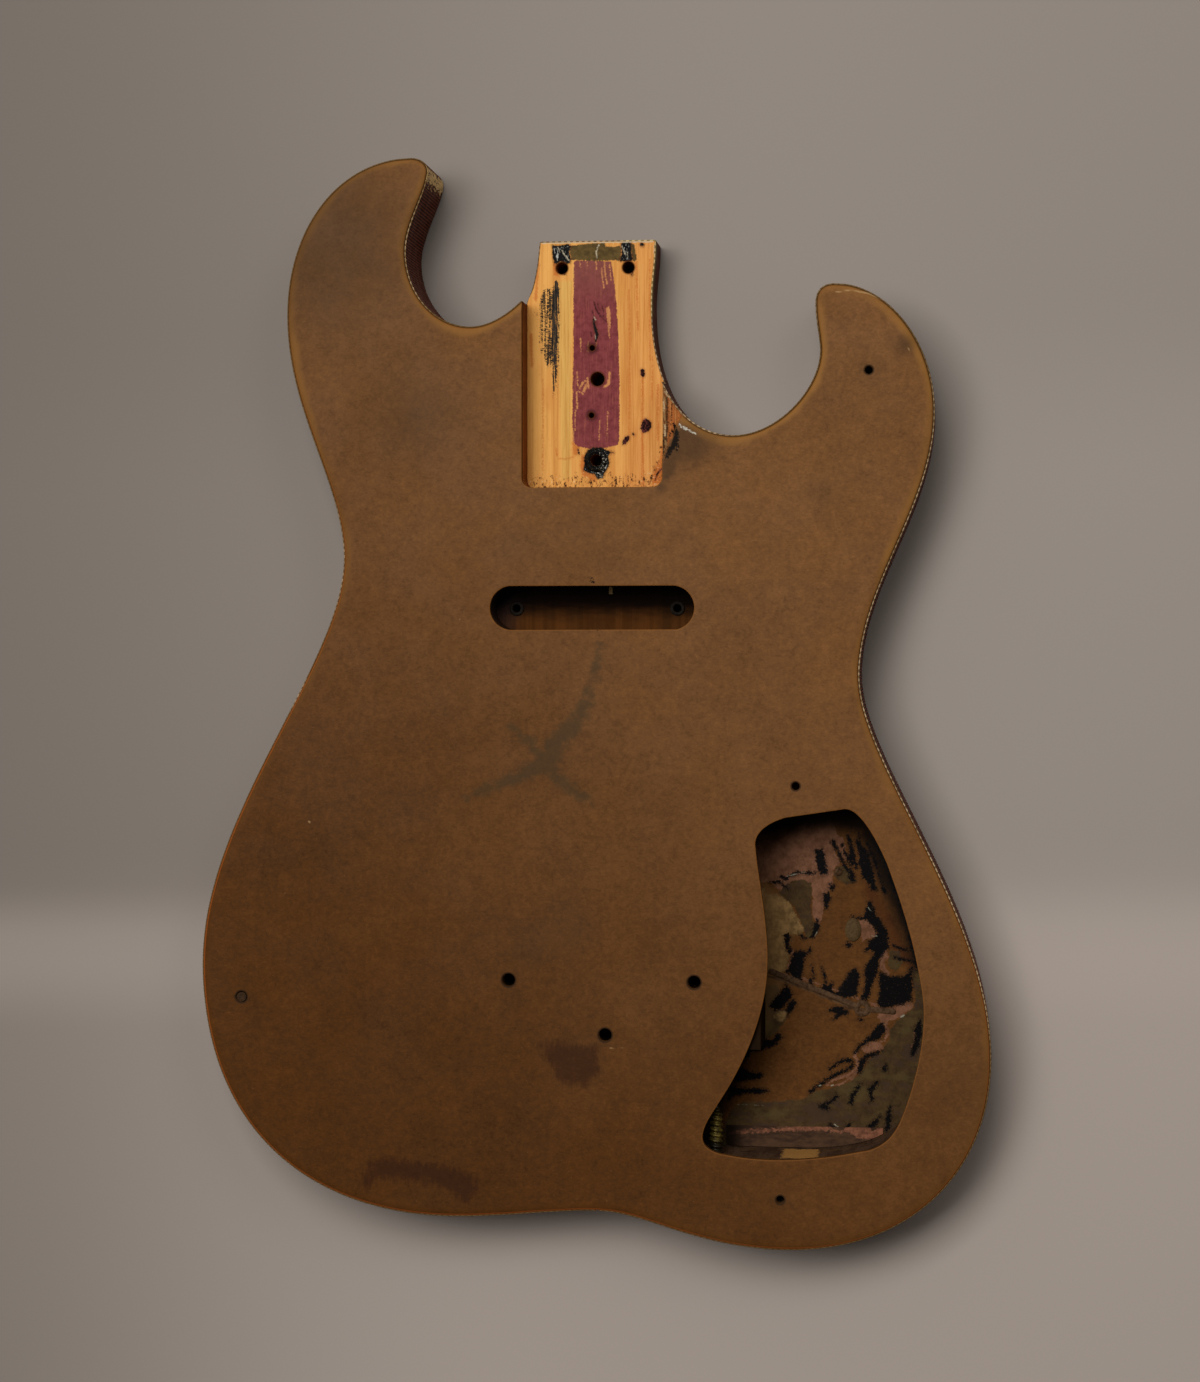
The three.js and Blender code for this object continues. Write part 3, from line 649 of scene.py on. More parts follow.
FLECKS = [
    (1.9, [(679.5, 424.5), (681, 427)]), (2.3, [(682.5, 426.5), (685, 429)]), (1.6, [(686.5, 428), (689, 431)]),
    (1.7, [(690.5, 430), (692, 433)]), (1.6, [(693.5, 432), (696, 434.5)]), (1.1, [(677, 449), (678.5, 451)]),
]
FAINT_LINES = [
    (1.6, [(660, 480), (690, 468), (720, 458), (745, 450)]),
    (1.3, [(566, 1046), (610, 1045.5), (650, 1047), (700, 1047)]),
]
DARK_LINES = [
    (3.0, [(592, 580), (593, 582)]), (1.2, [(235, 996), (250, 998)]), (1.2, [(583, 628.5), (590, 629)]),
    (1.2, [(596, 629), (607, 628)]),
]
CHIP_BLACK = [
    ([2.2, 4.6, 6.0, 5.6, 5.0, 2.4],
     [(674, 424), (676, 431), (676, 438), (673.5, 445), (669.5, 451), (665.5, 459)]),
    (1.6, [(672, 430), (670, 436)]), (1.4, [(679, 446), (677, 451)]),
]


def top_height(points):
    outer = rounded(outline_rim.gap(points), *OUTER_ROUND)
    cut = rounded(np.minimum(cut_rim.gap(points), hole_rim.gap(points)), *CUT_ROUND)
    wave = WAVE[0] * bump_noise(points, WAVE[1]) - WAVE_BELOW
    flat = np.clip(outline_rim.gap(points) / WAVE_FROM_EDGE, 0, 1)
    return TOP - np.maximum(outer, cut) + wave * flat


def haze(points):
    return sum(strength * glow(points, (x, y), TOP, radius * PIXEL) for x, y, radius, strength in HAZES)


top_fields = {
    "rim": outline_rim.gap, "cut": cut_rim.gap, "hole": hole_rim.gap, "haze": haze,
    "green": drawn(TOP, lines=GREEN_LINES), "red": drawn(TOP, RED_AREAS), "pale": drawn(TOP, lines=PALE_LINES),
    "dark": drawn(TOP, lines=CHIP_BLACK + DARK_LINES), "fleck": drawn(TOP, lines=FLECKS),
    "faint": drawn(TOP, lines=FAINT_LINES),
}
inner_edge = edge_look("board_edge", (96, 60, 26), (54, 32, 14))
back_look = plain_board_look()
TOP_RINGS = (0.15 * MM, 0.4 * MM, 0.8 * MM, 1.4 * MM, 2.2 * MM, 3.2 * MM, 4.4 * MM)
board(
    "top_board", top_loops, (TOP_RINGS, 2.0 * MM, None, top_height),
    flat_side(FRAME_HIGH),
    "hardboard", [top_look(), inner_edge, inner_edge], top_fields, replaces=["top_panel"],
)


# ---- Back board: its inner face is the painted floor of the control cavity ----
CAVITY = ((46 * MM, -200 * MM), (146 * MM, -44 * MM), 0.55 * MM)
FILM = 0.22 * MM
back_loops = [fine(loop) for loop in flat_loops("back_panel", FLOOR_INSIDE)]
back_loops[0] = outline
back_hole_rim = Rim(back_loops[1:])

OLIVE_AREAS = [
    [(783, 886), (790, 881), (803, 879), (812, 882), (811, 905), (811, 915), (815, 926), (817, 932), (814, 937),
     (806, 937), (804, 930), (799, 918), (795, 907), (790, 903), (783, 898), (779, 893)],
    [(834, 868), (838, 866), (846, 867), (852, 872), (856, 881), (848, 884), (838, 880), (834, 876)],
    [(767, 985), (778, 985), (780, 993), (776, 1003), (770, 1010), (785, 1010), (788, 1016), (782, 1025),
     (776, 1033), (768, 1038), (762, 1042), (757, 1030), (762, 1010)],
    [(921, 970), (912, 970), (915, 1000), (913, 1008), (905, 1014), (897, 1020), (890, 1030), (889, 1040),
     (880, 1053), (868, 1060), (862, 1072), (850, 1081), (832, 1087), (818, 1091), (805, 1098), (790, 1101),
     (770, 1102), (745, 1102), (733, 1108), (727, 1118), (722, 1130), (700, 1135), (725, 1160), (890, 1160),
     (905, 1132), (915, 1100), (924, 1060), (930, 1000)],
    [(866, 986), (869, 971), (871, 972), (869, 985)],
    [(890, 950), (900, 952), (903, 962), (895, 972), (888, 965)],
]
CREAM_AREAS = [
    [(766, 893), (779, 895), (790, 903), (797, 916), (801, 924), (804, 932), (798, 936), (786, 933), (784, 938),
     (785, 950), (789, 955), (786, 970), (777, 974), (768, 972), (760, 940), (760, 900)],
    [(776, 1012), (783, 1011), (787, 1013), (786, 1018), (780, 1022), (774, 1018)],
]
PINK_AREAS = [
    [(745, 812), (830, 812), (838, 836), (834, 850), (838, 857), (841, 863), (836, 867), (834, 872), (833, 884),
     (831, 889), (826, 893), (824, 909), (821, 918), (819, 926), (813, 915), (812, 905), (813, 893), (812, 883),
     (804, 879), (795, 880), (787, 883), (781, 891), (776, 889), (772, 883), (750, 882), (750, 850)],
    [(836, 835), (842, 838), (846, 850), (848, 858), (845, 862), (840, 855), (836, 845)],
    [(858, 920), (866, 919), (872, 926), (878, 935), (872, 938), (866, 940), (862, 942), (861, 935), (860, 928)],
    [(881, 956), (883, 949), (886, 948), (889, 957), (885, 962), (886, 968), (890, 974), (888, 976), (884, 972),
     (879, 969), (879, 962)],
    [(870, 1002), (877, 1004), (880, 1009), (890, 1008), (897, 1005), (905, 1003), (910, 1001), (914, 1004),
     (913, 1008), (907, 1012), (902, 1017), (895, 1020), (889, 1021), (887, 1026), (888, 1031), (885, 1027),
     (881, 1022), (878, 1017), (880, 1011), (873, 1006)],
    [(861, 1049), (866, 1045), (875, 1042), (881, 1043), (883, 1048), (878, 1051), (868, 1053), (863, 1052)],
]
PINK_LINES = [
    (3, [(886, 1026), (888, 1034), (885, 1040), (878, 1043), (868, 1044), (863, 1048)]),
    (3, [(856, 1052), (855, 1057), (858, 1062), (857, 1068), (850, 1074), (842, 1077), (835, 1080), (829, 1083)]),
    (2, [(858, 1070), (852, 1078), (843, 1083), (833, 1086), (826, 1085)]),
    (3, [(791, 950), (793, 955), (790, 962), (787, 968)]), (2, [(915, 1030), (915, 1040), (912, 1047)]),
    (2, [(772, 972), (800, 978), (830, 988), (862, 1000)]),
]
STRAP_SMEAR = [([3, 5, 6, 6, 5], [(768, 976), (795, 984), (825, 995), (850, 1006), (868, 1013)])]
BLACK_AREAS = [
    [(816, 850), (822, 849), (824, 855), (826, 865), (827, 874), (821, 874), (818, 868), (816, 858)],
    [(850, 838), (854, 850), (854, 858), (853, 865), (850, 864), (849, 855)],
    [(850, 868), (853, 873), (855, 881), (852, 882), (848, 876)],
    [(856, 838), (864, 848), (869, 855), (872, 868), (874, 880), (877, 890), (872, 890), (867, 880), (863, 878),
     (861, 868), (859, 855)],
    [(851, 916), (856, 918), (864, 917), (866, 910), (868, 903), (871, 902), (874, 908), (876, 915), (881, 921),
     (885, 928), (887, 936), (889, 948), (886, 950), (882, 955), (879, 960), (878, 968), (872, 985), (867, 1000),
     (861, 1000), (866, 985), (865, 968), (870, 960), (874, 955), (871, 948), (866, 952), (865, 950), (870, 945),
     (868, 941), (876, 938), (878, 934), (873, 926), (867, 919), (860, 920), (852, 920)],
    [(880, 972), (888, 976), (893, 978), (905, 976), (912, 968), (912, 990), (911, 1000), (903, 1004), (893, 1006),
     (883, 1008), (878, 1003), (880, 990)],
    [(856, 969), (859, 975), (858, 985), (856, 996), (848, 997), (840, 997), (836, 994), (842, 986), (848, 975),
     (852, 970)], [(820, 990), (824, 984), (828, 985), (833, 982), (832, 990), (836, 995), (828, 993), (822, 992)],
    [(809, 978), (812, 978), (812, 984), (810, 983)],
    [(793, 953), (800, 951), (806, 952), (804, 960), (802, 972), (801, 980), (796, 978), (790, 973), (786, 972),
     (790, 965), (792, 958)], [(785, 935), (788, 934), (790, 937), (788, 945), (792, 951), (790, 954), (786, 948)],
    [(800, 935), (806, 938), (802, 938)], [(808, 950), (811, 948), (810, 953), (805, 957)],
    [(824, 894), (829, 893), (830, 897), (827, 908), (825, 909), (824, 900)],
    [(830, 884), (834, 886), (833, 890), (830, 889)],
    [(817, 920), (819, 925), (817, 933), (814, 937), (811, 937), (814, 928)],
    [(847, 942), (852, 945), (850, 947), (846, 945)],
    [(780, 993), (786, 985), (790, 990), (792, 996), (787, 1002), (781, 1008), (775, 1010), (770, 1006),
     (774, 1000), (778, 996)], [(789, 1002), (794, 1000), (797, 1003), (792, 1010), (788, 1016), (787, 1010)],
    [(830, 1010), (836, 1006), (842, 1008), (848, 1012), (846, 1015), (842, 1014), (836, 1019), (833, 1019),
     (838, 1013), (831, 1012)], [(858, 1018), (863, 1020), (860, 1021)],
    [(885, 1028), (884, 1033), (880, 1038), (874, 1040), (868, 1042), (862, 1046), (858, 1051), (854, 1053),
     (858, 1046), (866, 1040), (873, 1032), (878, 1025), (883, 1023)],
    [(882, 1051), (876, 1054), (868, 1058), (863, 1066), (860, 1074), (858, 1072), (859, 1062), (864, 1055),
     (873, 1053)], [(883, 1066), (887, 1065), (886, 1071), (883, 1070)],
    [(857, 1087), (861, 1084), (858, 1090), (853, 1097), (852, 1104), (849, 1103), (851, 1095)],
    [(868, 1090), (873, 1085), (878, 1081), (877, 1086), (872, 1092), (873, 1100), (870, 1103), (870, 1095)],
    [(832, 1100), (836, 1094), (838, 1097), (834, 1101), (829, 1103), (826, 1105), (830, 1108), (827, 1110),
     (820, 1108), (819, 1105), (826, 1103)],
    [(914, 1030), (918, 1022), (921, 1020), (922, 1035), (919, 1045), (914, 1055), (911, 1055), (913, 1045),
     (916, 1035)],
    [(750, 1040), (757, 1038), (765, 1040), (772, 1040), (780, 1033), (781, 1037), (776, 1044), (768, 1048),
     (758, 1050), (750, 1052), (745, 1060), (742, 1050)],
    # These two streaks, which fade into the lower left corner, are painted shade.
    [(735, 1065), (745, 1070), (755, 1073), (763, 1074), (760, 1078), (748, 1080), (735, 1082)],
    [(730, 1086), (745, 1089), (757, 1088), (768, 1091), (760, 1093), (748, 1093), (735, 1095), (728, 1100)],
    [(868, 1126), (872, 1131), (878, 1122), (880, 1116), (875, 1120), (871, 1124)],
    [(886, 1120), (888, 1112), (890, 1107), (891, 1115), (890, 1128), (887, 1133), (885, 1128)],
]
BLACK_LINES = [
    (1.6, [(848, 836), (852, 850), (857, 868)]), (1.4, [(858, 834), (861, 850), (862, 866)]),
    (1.6, [(868, 844), (875, 862), (881, 880), (885, 892)]), (1.2, [(893, 946), (905, 950), (915, 951)]),
    (1.4, [(895, 957), (906, 960), (918, 961)]), (1.2, [(888, 985), (900, 983), (911, 986)]),
    (1.2, [(822, 968), (826, 980), (824, 988)]), (1.0, [(812, 966), (814, 978)]), (1.6, [(787, 880), (781, 876)]),
    (2.5, [(833, 842), (838, 851), (842, 860), (846, 868), (849, 873)]),
    (1.5, [(842, 845), (846, 855), (850, 865)]),
    ([2, 4, 3, 1, 3, 1], [(872, 838), (885, 860), (897, 895), (905, 920), (913, 950), (918, 970)]),
    (2.5,
     [(830, 1069), (838, 1063), (846, 1060), (852, 1061), (853, 1066), (846, 1070), (838, 1073), (828, 1079),
      (818, 1086), (810, 1092)]), (1.5, [(830, 1124), (838, 1131), (842, 1131), (850, 1124)]),
    (1.6, [(783, 880), (790, 876), (796, 873), (805, 873), (814, 873)]),
    (1.2, [(770, 882), (780, 882), (788, 889)]),
]
# Painted glints: pale dashes where raised paint and film catch the light.
GLINT_LINES = [
    (1.6, [(901, 1017), (904, 1015)]), (1.2, [(819, 1086), (821, 1085)]), (1.2, [(831, 1086), (833, 1085)]),
    (1.0, [(834, 1124), (842, 1130)]), (0.9, [(815, 936), (817, 932)]), (0.9, [(869, 936), (877, 936)]),
    (0.8, [(866, 905), (871, 911)]), (0.9, [(787, 876), (805, 872)]),
    (0.5, [(738, 1104.5), (752, 1105), (764, 1105.5)]),
]
# Painted shade: the floor under the opening's upper edge, along its right side and in its lower left corner, where
# the board overhangs it.
PAINTED_SHADE_AREAS = [
    [(740, 800), (935, 800), (905, 872), (893, 880), (884, 862), (872, 845), (860, 834), (835, 828), (790, 832),
     (765, 838), (752, 846), (740, 850)],
    [(858, 806), (878, 824), (896, 852), (908, 886), (918, 925), (926, 966), (914, 968), (906, 950), (898, 930),
     (888, 905), (878, 882), (868, 858), (858, 836)],
    [(740, 1035), (752, 1042), (742, 1075), (730, 1102), (722, 1125), (722, 1160), (690, 1160), (690, 1090)],
]
# Painted light: a lighter patch on the floor along the left of the opening, against the shade that the board's left
# edge casts there.
PAINTED_BRIGHTENING_AREAS = [
    [(752, 876), (768, 884), (782, 900), (790, 916), (792, 935), (788, 960), (778, 1005), (763, 1038), (745, 1062),
     (735, 1060), (750, 1010), (758, 950)],
]
STAIN_AREAS = [
    [(875, 895), (885, 905), (893, 920), (898, 935), (905, 950), (910, 960), (903, 965), (893, 955), (888, 935),
     (882, 915), (876, 905)],
    [(862, 880), (872, 884), (890, 915), (905, 945), (916, 965), (910, 968), (896, 950), (884, 925), (868, 900)],
]


def in_cavity(areas=(), lines=()):
    """A field that is worked out only where the floor is seen, and is far off elsewhere."""
    work = drawn(FLOOR_INSIDE, areas, lines)

    def field(points):
        values = np.full(len(points), REACH)
        seen = in_box(points, *CAVITY[:2])
        values[seen] = work(points[seen])
        return values
    return field


cavity_fields = {
    "olive": in_cavity(OLIVE_AREAS), "cream": in_cavity(CREAM_AREAS), "smear": in_cavity((), STRAP_SMEAR),
    "pink": in_cavity(PINK_AREAS, PINK_LINES), "black": in_cavity(BLACK_AREAS, BLACK_LINES),
    "stain": in_cavity(STAIN_AREAS), "painted_shade": in_cavity(PAINTED_SHADE_AREAS), "painted_brightening": in_cavity(PAINTED_BRIGHTENING_AREAS),
    "glint": in_cavity((), GLINT_LINES), "rim": outline_rim.gap,
}


def covered(gap, soft=0.5 * MM):
    return np.clip(0.5 - gap / soft, 0, 1)


def cavity_height(points):
    lumps = 0.5 + 0.5 * bump_noise(points, 3.0 * MM, 4.0)
    layers = (
        (0.5 * FILM, cavity_fields["olive"](points)), (1.2 * FILM, cavity_fields["cream"](points)),
        (0.7 * FILM, cavity_fields["pink"](points)),
    )
    rise = sum(thick * covered(gap) for thick, gap in layers)
    cut = covered(cavity_fields["black"](points))
    return FLOOR_INSIDE + (rise * (0.4 + 0.6 * lumps)) * (1 - 0.8 * cut) + 0.25 * FILM * cut * lumps


def back_height(points):
    cut = rounded(back_hole_rim.gap(points), *CUT_ROUND)
    return np.maximum(rounded(outline_rim.gap(points), *BACK_ROUND), cut)


def cavity_look():
    look = Look("cavity_floor", 0.03)
    base, fibre = fibre_board(look, (60, 35, 14), (112, 71, 33))
    edge = look.sway(0.7 * MM, 3.5 * MM, shift=2.0) + look.sway(1.8 * MM, 3.5 * MM, 3.0, 16.0)
    broad = look.sway(5 * MM, 4.0 * MM, shift=6.0)
    wobble = edge * 0.6 + broad * 0.6
    soft = look.noise(4.0 * MM, 3, 0.6, shift=9.0)
    fine = look.noise((1.0 * MM, 1.6 * MM, 1.0 * MM), 4, 0.7, shift=14.0)
    smooth_step = look.step(soft * 0.6 + fine * 0.4, 0.36, 0.64)
    near_black = look.step("black", 2.2 * MM, 0.0, 0, 0.45)
    speckle = look.step(look.field("black") + look.sway(0.6 * MM, 9.0 * MM, 3.0, 21.0), 0.15 * MM, -0.15 * MM)
    speckle = speckle * look.step("black", 2.0 * MM, 0.6 * MM)
    black = look.cover("black", edge + broad * 0.3, 0.14 * MM)
    olive = look.cover("olive", wobble)
    tints = look.noise((10 * MM, 5 * MM, 5 * MM), 3, 0.6, shift=18.0)
    dust = black * look.step(look.noise(0.7 * MM, 3, 0.7, shift=12.0), 0.62, 0.7, 0, 0.6)
    colour = look.blend(
        base,
        (look.cover("stain", wobble * 1.5, 1.5 * MM, 0.5), (70, 34, 16)),
        (olive, look.mix(smooth_step, (75, 56, 32), (58, 42, 24))),
        (olive * look.step(tints, 0.5, 0.68, 0, 0.55), (82, 68, 38)),
        (olive * look.step(tints, 0.48, 0.38, 0, 0.7), (64, 47, 36)),
        (look.cover("cream", wobble, 0.5 * MM), look.mix(smooth_step, (142, 110, 68), (90, 68, 39))),
        (look.cover("pink", wobble), look.mix(smooth_step, (126, 86, 63), (98, 64, 44))),
        # painted light along the left of the floor
        (look.cover("painted_brightening", broad, 2.5 * MM, 0.3), (138, 104, 64)),
        (look.cover("smear", wobble, 0.3 * MM, 0.85), look.mix(smooth_step, (92, 68, 46), (44, 30, 20))),
        (near_black * look.step(fine, 0.35, 0.65), (36, 23, 14)),
        # painted shade where the board overhangs the floor
        (look.cover("painted_shade", broad, 4.0 * MM, 0.93), (16, 11, 8)),
        (speckle, (22, 16, 12)),
        (black, (14, 12, 12)),
        (dust, (78, 58, 46)),
        # painted glints
        (look.cover("glint", edge * 0.2, 0.15 * MM, 0.8), (150, 146, 126)))
    height = fine * 0.7 + fibre * 0.3
    return look.finish(colour, look.step(black, 0.2, 0.9, 0.55, 0.3), height, 0.08 * MM)


board(
    "back_board", back_loops, ((0.4 * MM, 1.2 * MM), 5.0 * MM, CAVITY, cavity_height),
    ((0.15 * MM, 0.4 * MM, 0.8 * MM, 1.2 * MM, 2.4 * MM), 4.0 * MM, None, back_height),
    "hardboard", [cavity_look(), inner_edge, back_look], cavity_fields, replaces=["back_panel"],
)

# ---- Edge tape ----
RIB = 1.3 * MM
BEAD = 2.6 * MM
TAPE_IN = 0.05 * MM
TAPE_OUT = 0.62 * MM
LIP = 39.95 * MM
SEAM = (3.0 * MM, -220.4 * MM)
TAPE_SOFT = 4
RIB_DEEP = 0.15 * MM
BEAD_DEEP = 0.18 * MM
BEAD_SHARE = 0.55
MIDDLE_ROWS = (0.72, 0.45, 0.2)
HORN_TIP = (436, 175)
HORN_TIP_REACH = 5.7 * MM
OCHRE = [(654, 243), (655, 265), (655, 290)]
OCHRE_REACH = 30 * PIXEL
# Each is (place, reach in pixels, share) of a stretch where the tape's lip is rubbed pale.
CHAFED = [
    ((398, 230), 60, 0.55), ((410, 290), 40, 0.3), ((597, 241), 75, 0.9), ((655, 320), 70, 0.9),
    ((690, 420), 40, 1.0), ((905, 560), 110, 0.8), ((870, 700), 110, 1.0), ((900, 800), 110, 1.0),
    ((950, 900), 80, 0.9), ((932, 420), 50, 0.5), ((985, 1000), 70, 0.4), ((345, 560), 70, 0.6),
    ((688, 418), 12, 1.0), ((300, 400), 70, 0.2), ((296, 690), 20, 0.8), ((825, 300), 35, 0.4),
]


def tape_look():
    look = Look("ribbed_tape", 0.05)
    dirt_and_shade = look.noise(0.006, 4, 0.6)
    grit = look.noise(0.0012, 3, 0.7, shift=3.0)
    colour = look.grade(dirt_and_shade, 0.35, 0.7, (66, 27, 15), (38, 15, 8))
    # Painted highlight: the rib crests are painted a lighter orange than the troughs.
    crest = look.step("crest", 0.3, 0.9)
    colour = look.mix(crest * look.step(grit, 0.4, 0.7, 0.55, 0.95), colour, (128, 64, 42))
    below = look.field("below")
    worn = below + 0.5 * MM * (grit - 0.5)
    lip = look.step(worn, 0.5 * MM, 0.2 * MM)
    patchy = look.step(look.noise(0.02, 4, 0.65, shift=13.0), 0.36, 0.6, 0.45, 1.0)
    bead = look.step("bead", 0.35, 0.65, 0.25, 1.0)
    shown = bead * patchy * look.step("chafed", 0.1, 0.8, 0.12, 0.95)
    colour = look.mix(lip, colour, (92, 66, 28))
    colour = look.mix(lip * shown, colour, (186, 158, 122))
    ochre = look.step(look.field("ochre") + (dirt_and_shade - 0.5) * 0.8, 0.25, 0.7)
    colour = look.mix(ochre * look.step(below, 9 * MM, 3 * MM), colour, (112, 94, 46))
    colour = look.mix(ochre * look.step(worn, 2.2 * MM, 1.4 * MM) * bead, colour, (206, 176, 122))
    rub = look.step(look.noise((0.03, 0.03, 0.006), 4, 0.65, shift=9.0), 0.66, 0.72)
    colour = look.mix(rub * 0.25, colour, (140, 108, 76))
    crumbs = look.noise((1.2 * MM, 1.2 * MM, 3.5 * MM), 4, 0.7, shift=19.0)
    bare = look.field("tip") + (crumbs - 0.5) * 1.6
    colour = look.mix(
        look.step(bare, 0.42, 0.5) * look.step(below, 0.3 * MM, 1.2 * MM, 0.25, 1.0), colour,
        look.mix(crumbs, (200, 164, 104), (246, 210, 146)))
    return look.finish(colour, look.step(dirt_and_shade, 0.3, 0.7, 0.45, 0.65), grit, 0.06 * MM)


def edge_tape():
    path = smooth(outline_raw, RIB / 4)
    path = np.roll(path, -int(np.argmin(length(path - np.array(SEAM)))), 0)
    way = outward(path)
    way = sum(np.roll(way, k, 0) for k in range(-TAPE_SOFT, TAPE_SOFT + 1))
    way /= length(way)[:, None]
    path, way = path[1:-1], way[1:-1]
    count = len(path)
    along = np.concatenate([[0], np.cumsum(length(path[1:] - path[:-1]))])
    probe = path + way * 0.5 * MM
    tall = np.any([inside(probe, [loop]) for loop in flat_loops("side_tape", TAPE_HIGH)[:2]], 0)
    high = np.where(tall, LIP, POCKET_FLOOR)
    rib = (np.arange(count) % 4 < 2) * RIB_DEEP
    bead = ((along / BEAD) % 1 < BEAD_SHARE).astype(float)
    drop = (1 - bead) * BEAD_DEEP
    # The tape's section, from its inner lower corner up, over the beaded lip and down the ribs.
    rows = [
        (TAPE_IN, TAPE_LOW), (TAPE_IN, high - 0.1 * MM - drop), (0.15 * MM, high - drop), (0.4 * MM, high - drop),
        (TAPE_OUT - 0.5 * rib, high - 0.3 * MM - drop), (TAPE_OUT - rib, high - 0.9 * MM),
        *[(TAPE_OUT - rib, TAPE_LOW + (high - TAPE_LOW) * share) for share in MIDDLE_ROWS],
        (TAPE_OUT - rib, TAPE_LOW + 0.6 * MM), (TAPE_OUT - 0.15 * MM, TAPE_LOW + 0.1 * MM), (0.3 * MM, TAPE_LOW),
    ]
    full = np.ones(count)
    places = [np.column_stack([path + way * (out * full)[:, None], low * full]) for out, low in rows]
    places = np.stack(places, 1).reshape(-1, 3)
    around = {
        "bead": bead,
        "crest": 1 - rib / RIB_DEEP,
        "chafed": sum(share * glow(path, place, LIP, reach * PIXEL) for place, reach, share in CHAFED),
        "ochre": sum(glow(path, place, POCKET_FLOOR, OCHRE_REACH) for place in OCHRE),
        "tip": glow(path, HORN_TIP, LIP, HORN_TIP_REACH),
        "below": high,
    }
    fields = {name: np.repeat(values, len(rows)) for name, values in around.items()}
    fields["below"] = fields["below"] - places[:, 2]
    make("edge_tape", places, tube(count, len(rows)), "vinyl_tape", [tape_look()], replaces=["side_tape"],
         fields=fields, crease=70)


edge_tape()

# ---- Pocket floor: bare pine with a painted stripe and smears ----
SKIN = 0.12 * MM
PIN_HOLE = 10 * MM * MM
PIN_ROUND = (0.7 * MM, 0.1 * MM)
pocket_loops = [fine(loop) for loop in flat_loops("neck_block", POCKET_FLOOR)]
bolt_rim = Rim([loop for loop in pocket_loops[1:] if area(loop) > PIN_HOLE])
pin_rim = Rim([loop for loop in pocket_loops[1:] if area(loop) <= PIN_HOLE])

MAROON_AREAS = [
    [(574, 261), (573.5, 300), (573.5, 340), (573, 380), (572.5, 420), (573, 442), (577, 446), (590, 449),
     (606, 448), (618, 445), (619, 441), (619.5, 400), (619.5, 370), (618.5, 341), (616.5, 305), (614.5, 283),
     (611, 262), (594, 260)],
]
BARE_AREAS = [
    [(606, 308), (609, 306.5), (610.5, 312), (610.5, 325), (609.5, 334), (608, 325), (606.5, 316)],
    [(609, 371), (611, 372), (610, 384), (607, 387), (602, 388), (606, 384), (608, 378)],
]
BARE_LINES = [
    (0.9, [(596, 261), (596.5, 269)]), (1.2, [(601.5, 268), (602.5, 278), (604, 288)]),
    (1.3, [(604.5, 262), (605, 272), (607, 284)]), (0.9, [(609.5, 264), (611, 280)]),
    (0.8, [(587, 262), (587, 268)]), (0.8, [(580, 262), (580.5, 267)]), (2.2, [(580, 388), (582, 384), (585, 381)]),
    (2.6, [(584, 391), (586, 385)]), (1.8, [(587.5, 378), (588.5, 388)]), (1.3, [(578.5, 391), (583, 394)]),
    (1.4, [(608.5, 325), (609.5, 337)]), (0.9, [(580.5, 338), (581, 352)]), (0.8, [(588, 341), (588, 352)]),
    (1.2, [(577, 372), (578, 386)]), (1.6, [(576.5, 392), (577.5, 408)]), (1.0, [(575.5, 410), (575, 430)]),
    (0.9, [(597, 340), (596, 348)]), (0.9, [(608, 412), (607, 436)]), (0.9, [(600, 420), (599, 440)]),
    (1.0, [(573, 430), (574, 444)]),
]
GLOSS_AREAS = [
    [(552, 245), (558, 246), (568, 244), (571, 246), (569, 252), (571, 258), (570, 263), (565, 264), (561, 261),
     (555, 265), (553, 258)], [(621, 243), (631, 242), (631, 250), (633, 260), (628, 262), (620, 261), (622, 254)],
    [(588, 450), (593, 447.5), (601, 447.5), (606, 450), (611, 452), (608, 456), (609.5, 462), (608, 468),
     (605, 472), (603, 478), (598, 479), (594, 474), (588, 473), (583.5, 470), (584.5, 463), (584, 457)],
]
GLOSS_LINES = [
    (3, [(641.5, 244), (642.5, 245)]), ([1.2, 2.6, 2.8, 2.0], [(593.5, 319), (594.5, 326), (597, 334), (596, 341)]),
    (1.8, [(564, 266), (564.5, 274)]), (1.8, [(632, 266), (632, 275)]),
]
SCRATCH_LINES = [
    ([1.8, 1.6, 1.0], [(594, 302), (596, 309), (600, 317)]), (0.9, [(599, 313), (603, 319), (607, 322)]),
    (0.9, [(602, 306), (604, 312)]), (0.8, [(597.5, 304), (600, 310)]), (1.0, [(592.5, 311), (594, 317)]),
    (0.8, [(603, 315), (605, 317)]), (1.0, [(591, 332), (592, 337)]),
]
KNOT_AREAS = [
    [(641, 425), (643, 420), (646, 418), (651, 422), (651.5, 427), (648, 432), (643, 433), (640.5, 429)],
    [(622, 442), (625, 437), (629, 435.5), (629.5, 439), (626, 444), (622.5, 445)],
]
KNOT_LINES = [
    ([0.8, 1.6, 1.8, 1.0], [(663, 467), (660, 471), (657, 474), (656, 479)]), (1.4, [(578, 449), (579, 454)]),
    (4.2, [(642.5, 371), (643, 375)]), (1.8, [(633, 434), (634, 435)]), (1.2, [(611, 452), (614, 453)]),
]
OLIVE_BAND = [
    [(569, 246), (593, 243), (605, 243), (606, 247), (621, 246), (621, 260), (600, 261), (571, 260)],
    [(628, 244), (634, 244), (637, 260), (633, 262), (631, 252)],
]
GREY_LINES = [
    (
        [3.5, 5.5, 6.5, 6.5, 5.0, 3.0, 1.5],
        [(556.5, 283), (556, 292), (555.5, 305), (555, 330), (555, 350), (554.5, 364), (554, 390)]),]
